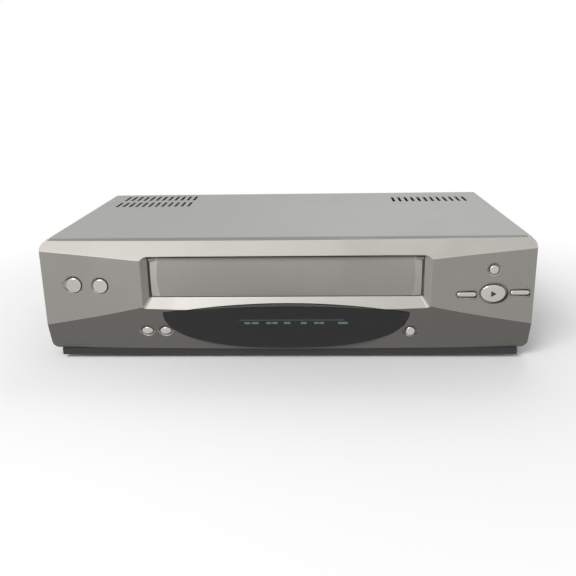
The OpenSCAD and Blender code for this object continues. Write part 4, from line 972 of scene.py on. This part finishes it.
def spread_tree() -> NodeTree:
    """Builds the Geometry Nodes tree that repeats a part on a grid.

    Returns:
        The tree, with named inputs for its sizes.
    """
    found = bpy.data.node_groups.get("spread_grid")
    if found:
        return found
    tree = bpy.data.node_groups.new("spread_grid", "GeometryNodeTree")
    inputs = {
        "Geometry": "Geometry", "Columns": "Int", "Rows": "Int", "Column Step": "Float",
        "Row Step": "Float", "Place": "Vector", "Turn": "Vector", "Keep": "Float",
        "Seed": "Int", "Finish": "Material",
    }
    _sockets(tree, {"INPUT": inputs, "OUTPUT": {"Geometry": "Geometry"}})
    graph = Graph(tree)
    enter = graph.add("NodeGroupInput").outputs
    wide, long = (
        graph.maths("MULTIPLY", graph.maths("SUBTRACT", enter[count], 1), enter[step])
        for count, step in (("Columns", "Column Step"), ("Rows", "Row Step"))
    )
    points = graph.add(
        "GeometryNodeMeshGrid",
        Size_X=wide, Size_Y=long, Vertices_X=enter["Columns"], Vertices_Y=enter["Rows"],
    ).outputs["Mesh"]
    chance = graph.add(
        "FunctionNodeRandomValue", {"data_type": "BOOLEAN"},
        Probability=enter["Keep"], Seed=enter["Seed"],
    )
    copies = graph.add(
        "GeometryNodeInstanceOnPoints",
        Points=points, Instance=enter["Geometry"], Selection=chance.outputs[3],
    )
    placed = graph.add(
        "GeometryNodeTransform",
        Geometry=copies.outputs[0], Translation=enter["Place"], Rotation=enter["Turn"],
    )
    solid = graph.add("GeometryNodeRealizeInstances", Geometry=placed.outputs[0])
    finished = graph.add(
        "GeometryNodeSetMaterial", Geometry=solid.outputs[0], Material=enter["Finish"]
    )
    graph.add("NodeGroupOutput", Geometry=finished.outputs[0])
    return tree


@dataclass(frozen=True)
class Pattern:
    """Where and how often a part is repeated, in millimetres and degrees."""

    columns: int = 1
    rows: int = 1
    column_step: float = 1.0
    row_step: float = 1.0
    place: Spot = (0.0, 0.0, 0.0)
    turn: Spot = (0.0, 0.0, 0.0)
    keep: float = 1.0
    seed: int = 1


def repeat(name: str, unit: BMesh, pattern: Pattern, finish: Finish, body: str) -> Object:
    """Repeats a small part with Geometry Nodes and bakes it to a plain mesh.

    Args:
        name: the piece's name.
        unit: the small part, about its own origin. It is used up.
        pattern: where the copies go.
        finish: their finish.
        body: the CAD body that they ride on.

    Returns:
        The baked piece.
    """
    crease(unit)
    mesh = saved(f"{name}_unit", unit)
    single = bpy.data.objects.new(f"{name}_unit", mesh)
    bpy.context.scene.collection.objects.link(single)
    modifier = single.modifiers.new("spread", "NODES")
    modifier.node_group = spread_tree()
    values = {
        **{key.replace("_", " ").title(): value for key, value in vars(pattern).items()},
        "Column Step": pattern.column_step * MM,
        "Row Step": pattern.row_step * MM,
        "Place": [c * MM for c in pattern.place],
        "Turn": [math.radians(c) for c in pattern.turn],
        "Finish": finish.material(),
    }
    for item in modifier.node_group.interface.items_tree:
        if item.in_out == "INPUT" and item.name in values:
            modifier[item.identifier] = values[item.name]
    graph = bpy.context.evaluated_depsgraph_get()
    baked = bpy.data.meshes.new_from_object(single.evaluated_get(graph))
    single.modifiers.remove(modifier)
    bpy.data.objects.remove(single)
    bpy.data.meshes.remove(mesh)
    piece = mesh_object(name, baked, [finish])
    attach(piece, body)
    return piece


def bar(size: Spot, soft: float = 0.0, at: Spot = (0, 0, 0)) -> BMesh:
    """Makes a bar with softened edges.

    Args:
        size: its lengths in millimetres.
        soft: the width of its softened edges.
        at: its centre.

    Returns:
        The bar's mesh.
    """
    work = bmesh.new()
    stretch = Matrix.Diagonal((*[c * MM for c in size], 1.0))
    move = Matrix.Translation(Vector(at) * MM) @ stretch
    bmesh.ops.create_cube(work, size=1.0, matrix=move)
    if soft:
        bmesh.ops.bevel(
            work, geom=work.edges[:], offset=soft * MM, segments=2, profile=0.5, affect="EDGES"
        )
    return work


def turned(profile: Sequence[tuple[float, float]], steps: int = 24) -> BMesh:
    """Makes a closed part of revolution about Z.

    Args:
        profile: a closed outline of (radius, height) points in millimetres,
            counter-clockwise with the axis on the left.
        steps: how many sides it has.

    Returns:
        The part's mesh.
    """
    work = bmesh.new()
    rings = []
    for step in range(steps):
        angle = 2 * math.pi * step / steps
        x, y = math.cos(angle), math.sin(angle)
        ring = [work.verts.new((r * x * MM, r * y * MM, z * MM)) for r, z in profile]
        rings.append([*ring, ring[0]])
    fill(work, [*rings, rings[0]])
    bmesh.ops.recalc_face_normals(work, faces=work.faces)
    return work


def joined(*parts: BMesh) -> BMesh:
    """Puts several meshes in one.

    Args:
        *parts: the meshes, which are used up.

    Returns:
        One mesh of them all.
    """
    work = bmesh.new()
    for part in parts:
        mesh = saved("part", part)
        work.from_mesh(mesh)
        bpy.data.meshes.remove(mesh)
    return work


class Facet(IntEnum):
    """The kinds of face on the fascia, in the order of its finishes. The top's lighter silver is a
    painted highlight, and the low facet's darker silver is partly two-tone paint and partly painted
    shade.
    """

    FACE = 0
    TOP = 1
    LOW = 2
    INSIDE = 3
    # The walls of the buttons' holes get black, a painted shade.
    HOLE = 4


@dataclass
class Front(SubAssembly):
    """The faceted fascia, its door, its window and the display behind it."""

    face_y: float = -112.0
    bow_r: float = 4000.0
    surround_x: float = 106.0
    side_sweep: float = 0.1034
    inner_x: float = 176.0
    shell: float = 12.0
    hole_depth: float = 9.0
    hole_gap: float = 0.8
    holes: tuple[tuple[Vector, Vector], ...] = ()
    crease_z: float = 46.0
    foot_z: float = 12.0
    # Sizes of the black strip round the door's opening, a painted shadow.
    lip_reach: float = 99.32
    lip_top: float = 81.92
    lip_foot: float = 51.4
    lip_height: float = 1.15
    lip_width: float = 0.7
    lip_thickness: float = 0.06
    lip_lift: float = 0.04
    lip_back: float = -95.0
    mark_z: float = 29.6
    line_z: float = 31.9
    line_x: float = 4.0
    line_width: float = 78.0
    indicators: tuple[tuple[float, float], ...] = (
        (-29.0, 4.4), (-23.0, 5.2), (-13.0, 3.6), (-8.4, 4.2), (0.7, 4.8), (13.0, 4.4),
        (22.4, 3.2), (26.4, 3.4), (42.0, 7.2),
    )

    def build(self) -> None:
        """Dresses the front's parts."""
        self.holes = tuple(tuple(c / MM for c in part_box(n)) for n in button_names())
        fascia = self.recast(
            "front_fascia", [FACE_SILVER, LIT_TOP_SILVER, SHADED_LOW_SILVER, BARE_GREY, BLACK],
            "silver_plastic", 0.25, self.facet, sharp=6.0, least=4.0, corner=12.0,
        )
        self.recast(
            "cassette_door", [DOOR_SILVER, BARE_GREY, LIT_DOOR_END], "door_silver", 0.15,
            self.door_part, "cassette_door", sharp=4.0,
        )
        self.dress("door_spring", STEEL)
        self.recast("display_lens", [SMOKED], "smoked_window", 0.2)
        self.dress("fluorescent_display", DISPLAY)
        self.glyphs()
        self.door_shadow_strip(fascia)

    def surface(self, x: float) -> float:
        """Gives where the plain face is at x, as its Y."""
        bow = self.bow_r - math.sqrt(self.bow_r**2 - min(abs(x), self.surround_x) ** 2)
        return self.face_y + bow + self.side_sweep * max(0.0, abs(x) - self.surround_x)

    def door_part(self, centre: Vector, normal: Vector) -> int:
        """Picks the door's finish: its back is bare and its end facets are paler, a painted
        highlight.
        """
        if normal.y > 0.3:
            return 1
        # Faces turned sideways at the door's ends get the paler silver, a painted highlight.
        return 2 if abs(normal.x) > 0.08 and normal.y < -0.5 else 0

    def facet(self, centre: Vector, normal: Vector) -> int:
        """Picks the silver of a face of the fascia: a lighter silver on faces turned up as a
        painted highlight, a darker one low down that is partly two-tone paint and partly painted
        shade, and black on the button holes' walls as painted shade.

        Args:
            centre: the face's centre in millimetres.
            normal: its normal.

        Returns:
            The index of the finish.
        """
        deep = centre.y > self.surface(centre.x) + self.shell
        if normal.y > 0.25 or deep and abs(centre.x) < self.inner_x:
            return Facet.INSIDE
        # The walls of the buttons' holes are painted black as shade.
        if self.in_button_hole(centre, normal):
            return Facet.HOLE
        # Faces turned up get the lighter silver, a painted highlight.
        if normal.z > 0.35:
            return Facet.TOP
        # Faces turned down get the darker silver, partly two-tone paint and partly painted shade.
        outer = normal.y < -0.5 and normal.z < -0.15 and centre.z < self.crease_z
        if outer or normal.z < -0.9 and centre.z < self.foot_z:
            return Facet.LOW
        return Facet.FACE

    def in_button_hole(self, centre: Vector, normal: Vector) -> bool:
        """Tells whether a face is the wall of one of the buttons' holes.

        Args:
            centre: the face's centre in millimetres.
            normal: its normal.

        Returns:
            Whether it is.
        """
        if abs(normal.y) > 0.3 or centre.y > self.surface(centre.x) + self.hole_depth:
            return False
        gap = self.hole_gap
        return any(
            low.x - gap < centre.x < high.x + gap and low.z - gap < centre.z < high.z + gap
            for low, high in self.holes
        )

    def door_shadow_strip(self, fascia: Object) -> None:
        """Lays a thin black strip on the fascia along the top and ends of the door's opening, a
        painted shadow where the opening's shade falls.

        Args:
            fascia: the dressed fascia that it lies on.
        """
        mesh = fascia.data
        skin = BVHTree.FromPolygons(
            [v.co for v in mesh.vertices], [p.vertices[:] for p in mesh.polygons]
        )
        reach, top, foot = self.lip_reach, self.lip_top, self.lip_foot
        height, width = self.lip_height, self.lip_width
        lift = Vector((0, self.lip_lift * MM, 0))
        work = bmesh.new()
        for first, last, out, steps in (
            ((-reach, top), (reach, top), (0.0, height), 80),
            ((-reach, foot), (-reach, top + height), (-width, 0.0), 12),
            ((reach, foot), (reach, top + height), (width, 0.0), 12),
        ):
            rows = []
            for step in range(steps + 1):
                part = step / steps
                row = []
                for k in range(3):
                    x, z = (a + (b - a) * part + o * k / 2 for a, b, o in zip(first, last, out))
                    spot, *_ = skin.ray_cast(Vector((x, -300.0, z)) * MM, Vector((0, 1, 0)))
                    if spot is None or spot.y > self.lip_back * MM:
                        row = []
                        break
                    row.append(spot - lift)
                rows.append([work.verts.new(spot) for spot in row])
            fill(work, rows)
        loose = [v for v in work.verts if not v.link_faces]
        bmesh.ops.delete(work, geom=loose, context="VERTS")
        bmesh.ops.recalc_face_normals(work, faces=work.faces)
        # The strip is black as a painted shadow.
        self.film("door_shadow_strip", work, BLACK, self.lip_thickness, self.body, "black_plastic")

    def glyphs(self) -> None:
        """Puts a row of small indicators and a thin line on the display."""
        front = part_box("fluorescent_display")[0].y / MM - 0.04
        row = joined(*(bar((w, 0.12, 1.6), 0.05, (x, 0, 0)) for x, w in self.indicators))
        line = bar((self.line_width, 0.1, 0.3), 0.04)
        for name, unit, x, z in (
            ("indicator_marks", row, 0.0, self.mark_z),
            ("indicator_line", line, self.line_x, self.line_z),
        ):
            piece = repeat(name, unit, Pattern(place=(x, front, z)), GLYPH, self.body)
            self.report(piece)


@dataclass
class Buttons(SubAssembly):
    """The nine silver push buttons, with the mark on the play button."""

    rim_depth: float = 2.4
    rim_round: float = 0.75
    play_x: float = 149.7
    play_z: float = 53.5
    dome_radius: float = 22.08
    mark_size: float = 2.0
    mark_lift: float = 0.03
    mark_thickness: float = 0.04

    def build(self) -> None:
        """Dresses each button on its own body."""
        for name in button_names():
            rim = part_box(name)[0].y / MM + self.rim_depth
            self.recast(
                name, [BUTTON_SILVER], "button_silver", self.rim_round, body=name,
                steps=5, ahead=rim, least=0.1,
            )
        self.play_mark()

    def play_mark(self) -> None:
        """Prints a small dark triangle on the play button's dome."""
        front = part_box("play_button")[0].y / MM + self.dome_radius - self.mark_lift
        size, steps = self.mark_size, 6
        work = bmesh.new()
        rows = []
        for i in range(steps + 1):
            along = i / steps
            x = size * (2.0 * along - 0.9)
            row = []
            for k in range(-2, 3):
                z = size * 1.1 * (1 - along) * k / 2
                y = front - math.sqrt(self.dome_radius**2 - x * x - z * z)
                spot = (self.play_x + x, y, self.play_z + z)
                row.append(work.verts.new([c * MM for c in spot]))
            rows.append(row)
        fill(work, rows)
        self.film("play_mark", work, INK, self.mark_thickness, "play_button", "button_silver")


@dataclass
class Case(SubAssembly):
    """The cover, the base, the rear panel, the feet and the screws."""

    def build(self) -> None:
        """Dresses the case."""
        self.recast("top_cover", [COVER_PAINT], "painted_steel")
        self.recast("bottom_chassis", [BLACK], "black_plastic")
        self.recast("rear_panel", [ZINC_ACROSS], "plated_steel")
        self.recast("feet", [RUBBER], "rubber", 0.5)
        self.recast("cover_screws", [BLACK_STEEL], "black_screw")


@dataclass
class Sockets(SubAssembly):
    """The sockets, the switch and the cord bush on the rear."""

    panel_y: float = 104.0
    jack_skin: float = 0.9
    tuner_skin: float = 1.2
    jack_x: float = 126.2
    jack_z: float = 20.2
    jack_pitch: float = 14.0
    aerial_x: float = 155.6
    aerial_z: float = 32.2
    aerial_pitch: float = 18.0

    def build(self) -> None:
        """Dresses the sockets and adds their rings and threads."""
        for node, finish, slot, skin in (
            ("phono_jacks", BLACK, "black_plastic", self.jack_skin),
            ("tuner", TIN, "plated_steel", self.tuner_skin),
        ):
            self.recast(node, [finish, NICKEL], slot, 0.1, self.behind(self.panel_y - skin))
        self.dress("channel_switch", BLACK)
        self.recast("cord_gland", [BLACK], "black_plastic", 0.2)
        for row, (name, finish) in enumerate(JACK_COLOURS.items()):
            ring = turned([(4.2, -0.9), (5.3, -0.9), (5.3, 1.3), (4.9, 1.7), (4.2, 1.7)], 36)
            place = (self.jack_x, self.panel_y, self.jack_z + self.jack_pitch * row)
            self.pair(f"socket_rings_{name}", ring, self.jack_pitch, place, finish)
        ridge = turned([(4.7, -0.22), (4.98, 0.0), (4.7, 0.22)], 36)
        place = (self.aerial_x, self.panel_y + 1.2, self.aerial_z)
        self.pair("aerial_threads", ridge, self.aerial_pitch, place, NICKEL)

    def behind(self, level: float) -> Chooser:
        """Makes a chooser of finish 1 for what stands behind the panel."""
        return lambda centre, normal: int(centre.y > level)

    def pair(
        self, name: str, unit: BMesh, pitch: float, place: Spot, finish: Finish
    ) -> None:
        """Sets two rings side by side round a pair of sockets.

        Args:
            name: the piece's name.
            unit: one ring, which is used up.
            pitch: from one socket to the other, in millimetres.
            place: the middle between them.
            finish: the rings' finish.
        """
        pattern = Pattern(columns=2, column_step=pitch, place=place, turn=(-90, 0, 0))
        self.report(repeat(name, unit, pattern, finish, self.body))


@dataclass
class Electronics(SubAssembly):
    """The boards and what stands on them."""

    board_top: float = 10.2
    power_top: float = 13.6
    switch_y: float = -91.8
    plunger_from: float = 2.65
    tape_low: float = 6.2
    tape_high: float = 21.8
    tape_x: float = -150.0
    tape_half: float = 10.5
    can_top: float = 45.2
    plug_x: float = 33.0
    plug_half: float = 11.02
    plug_y: float = -87.2
    plug_top: float = 25.0
    legs_top: float = 11.8
    shield: Area = ((115.0, 155.0), (11.0, 45.0))
    sleeves: tuple[Area, ...] = (
        ((112.0, math.inf), (-13.0, -3.0)), ((145.0, math.inf), (-44.0, -36.0)),
    )

    def build(self) -> None:
        """Dresses the boards and adds the small parts."""
        self.dress("main_board", GREEN_BOARD)
        self.dress("power_board", TAN_BOARD)
        for node, board in (
            ("left_switch_board", TAN_BOARD),
            ("right_switch_board", TAN_BOARD),
            ("display_board", GREEN_BOARD),
        ):
            self.recast(node, [board, CHIP, WHITE], choose=self.switch_part)
        self.dress("infrared_receiver", RED_DARK)
        parts = "board_parts"
        self.recast(
            "board_components", [CHIP, BLUE_SLEEVE, TIN, ALUMINIUM], parts, 0.15, self.component
        )
        self.recast("power_transformer", [FERRITE, YELLOW_TAPE], parts, 0.2, self.winding)
        self.recast(
            "power_capacitors", [DARK_SLEEVE, ALUMINIUM], parts, 0.2,
            lambda c, n: int(n.z > 0.6 or c.z > self.can_top),
        )
        self.dress("heat_sink", ALUMINIUM)
        self.recast("ribbon_cable", [RIBBON, WHITE], "ribbon", choose=self.plug)
        self.small_parts()

    def switch_part(self, centre: Vector, normal: Vector) -> int:
        """Tells a switch's body and plunger from its board."""
        if centre.y > self.switch_y - 0.05:
            return 0
        return 2 if centre.y < self.switch_y - self.plunger_from else 1

    def winding(self, centre: Vector, normal: Vector) -> int:
        """Tells the transformer's taped winding from its core."""
        up = self.tape_low < centre.z - self.power_top < self.tape_high
        return int(up and abs(centre.x - self.tape_x) < self.tape_half)

    def plug(self, centre: Vector, normal: Vector) -> int:
        """Tells the plugs at the ribbon's ends from the ribbon."""
        aside = abs(centre.x - self.plug_x) > self.plug_half
        return int(aside or centre.y < self.plug_y and centre.z < self.plug_top)

    def component(self, centre: Vector, normal: Vector) -> int:
        """Picks the finish of a face of the large components.

        Args:
            centre: the face's centre in millimetres.
            normal: its normal.

        Returns:
            The index of the finish.
        """
        if within(centre, self.shield):
            return 2
        if any(within(centre, area) for area in self.sleeves):
            return 3 if normal.z > 0.6 else 1
        return 2 if centre.z < self.legs_top and abs(normal.z) < 0.5 else 0

    def resistor(self) -> BMesh:
        """Makes a lying resistor with its two legs."""
        body = turned(
            [(0, -3.2), (0.9, -3.1), (1.15, -2.6), (1.15, -1.8), (0.85, -1.4), (0.85, 1.4),
             (1.15, 1.8), (1.15, 2.6), (0.9, 3.1), (0, 3.2)], 10,
        )
        legs = [bar((0.5, 0.5, 1.5), at=(s * 4.2, 0, 0.65)) for s in (-1, 1)]
        wires = [bar((1.4, 0.5, 0.5), at=(s * 3.7, 0, 1.3)) for s in (-1, 1)]
        return joined(self.laid(body, "Y", 1.3), *legs, *wires)

    def disc(self) -> BMesh:
        """Makes a standing ceramic disc with its two legs."""
        body = turned([(0, -0.9), (2.2, -0.8), (2.8, 0), (2.2, 0.8), (0, 0.9)], 16)
        legs = [bar((0.5, 0.5, 2.6), at=(s * 1.4, 0, 1.3)) for s in (-1, 1)]
        return joined(self.laid(body, "X", 4.4), *legs)

    def laid(self, body: BMesh, axis: str, height: float) -> BMesh:
        """Turns a small part a quarter about an axis and lifts it."""
        quarter = Matrix.Rotation(math.pi / 2, 3, axis)
        bmesh.ops.rotate(body, verts=body.verts, matrix=quarter)
        bmesh.ops.translate(body, verts=body.verts, vec=(0, 0, height * MM))
        return body

    def small_parts(self) -> None:
        """Sets rows of resistors and ceramic discs on the free board areas."""
        main, power = self.board_top, self.power_top
        for name, make, finish, columns, rows, steps, place, keep, seed in (
            ("resistors_front", self.resistor, RESISTOR, 5, 3, (11, 3.6), (140, -77, main), 0.8, 3),
            ("resistors_middle", self.resistor, RESISTOR, 5, 2, (11, 3.6), (140, 4, main), 0.85, 5),
            ("resistors_rear", self.resistor, RESISTOR, 2, 7, (11, 4.2), (122, 66, main), 0.8, 8),
            ("discs_right", self.disc, CERAMIC, 1, 5, (1, 6.5), (162, 30, main), 0.9, 2),
            ("resistors_power", self.resistor, RESISTOR, 3, 2, (12, 4), (-146, -58, power), 0.9, 4),
        ):
            pattern = Pattern(columns, rows, *steps, place, keep=keep, seed=seed)
            self.report(repeat(name, make(), pattern, finish, self.body))


@dataclass
class Deck(SubAssembly):
    """The deck plate and the tape path on it."""

    drum_axis: Spot = (0.0, 0.104528, 0.994522)
    drum_coils: float = 26.5
    capstan_coils: float = 20.9
    plate_top: float = 25.4
    flywheel_top: float = 22.5
    spindle_low: float = 17.0
    spindle_high: float = 26.9
    hub_low: float = 32.5
    guide_foot: float = 29.2
    motor_foot: float = 32.6
    head_top: float = 40.0
    idler_y: float = -24.0
    tyre_radius: float = 9.6

    def build(self) -> None:
        """Dresses the deck's parts, each on its own body."""
        plated, bright, white = "plated_steel", "bright_steel", "white_plastic"
        self.recast("deck_plate", [ZINC_BACK, STEEL], plated, choose=between(self.plate_top))
        self.recast("side_brackets", [ZINC_BACK], plated)
        for name in ("lift_carriage", "cassette_basket"):
            self.recast(name, [ZINC_ACROSS], plated, body=name)
        self.dress("lower_drum", DRUM_METAL)
        self.recast("upper_drum", [DRUM_METAL], "drum_aluminium", 0.15, body="video_drum")
        self.recast("drum_rotor", [GREY_STEEL], bright, 0.15, body="video_drum")
        for node, axis, level in (
            ("drum_stator", self.drum_axis, self.drum_coils),
            ("capstan_stator", (0.0, 0.0, 1.0), self.capstan_coils),
        ):
            self.recast(node, [TAN_BOARD, COPPER], "tan_board", choose=self.coils(axis, level))
        self.moving("capstan", [FLYWHEEL, STEEL], bright, 0.1, between(self.flywheel_top))
        self.dress("drive_belt", RUBBER)
        spindle = between(self.spindle_low, self.spindle_high)
        self.moving("clutch_pulley", [CREAM, STEEL], white, 0.15, spindle)
        self.moving("idler_arm", [GREY_STEEL], plated, 0.1)
        self.moving("idler_wheel", [CREAM, RUBBER], white, 0.15, self.tyre)
        for name in ("supply_reel", "take_up_reel"):
            self.moving(name, [WHITE, BLACK], white, 0.15, between(self.hub_low))
        self.moving("pinch_arm", [GREY_STEEL], plated, 0.1)
        self.moving("pinch_roller", [RUBBER], "rubber", 0.3)
        foot = between(-math.inf, self.guide_foot)
        for name in ("supply_guide", "take_up_guide"):
            self.moving(name, [STEEL, BLACK], bright, 0.1, foot)
        self.moving("cam_gear", [CREAM], white)
        foot = between(-math.inf, self.motor_foot)
        self.recast("loading_motor", [TIN, WHITE], bright, 0.2, foot)
        self.moving("loading_pinion", [BRASS], white)
        self.recast("tape_heads", [BLACK, STEEL], bright, 0.2, self.head)
        self.moving("tension_arm", [GREY_STEEL], plated, 0.1)
        self.dress("deck_screws", YELLOW_ZINC)

    def moving(
        self, node: str, finishes: Sequence[Finish], slot: str, bevel: float = 0.0,
        choose: Chooser | None = None,
    ) -> None:
        """Recasts a node that rides on the body of its own name."""
        self.recast(node, finishes, slot, bevel, choose, node)

    def tyre(self, centre: Vector, normal: Vector) -> int:
        """Tells the idler wheel's tyre from its hub."""
        return int(math.hypot(centre.x, centre.y - self.idler_y) > self.tyre_radius)

    def head(self, centre: Vector, normal: Vector) -> int:
        """Tells a head's steel face and foot from its black housing."""
        return int(normal.y > 0.5 or centre.z < self.head_top)

    def coils(self, axis: Spot, level: float) -> Chooser:
        """Makes a chooser that tells a stator's coils from its board.

        Args:
            axis: the motor's axis.
            level: where the board's lower face is along the axis, in
                millimetres.

        Returns:
            The chooser, which gives 1 for a coil.
        """
        return lambda centre, normal: int(centre.dot(Vector(axis)) < level)


def main() -> None:
    """Builds the studio and the sub-assemblies in order."""
    logging.basicConfig(level=logging.INFO, format="%(message)s")
    bpy.context.scene.view_settings.view_transform = "Standard"
    Studio().build()
    for part in (Front(), Buttons(), Case(), Sockets(), Electronics(), Deck()):
        part.build()
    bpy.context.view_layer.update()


if __name__ == "__main__":
    main()
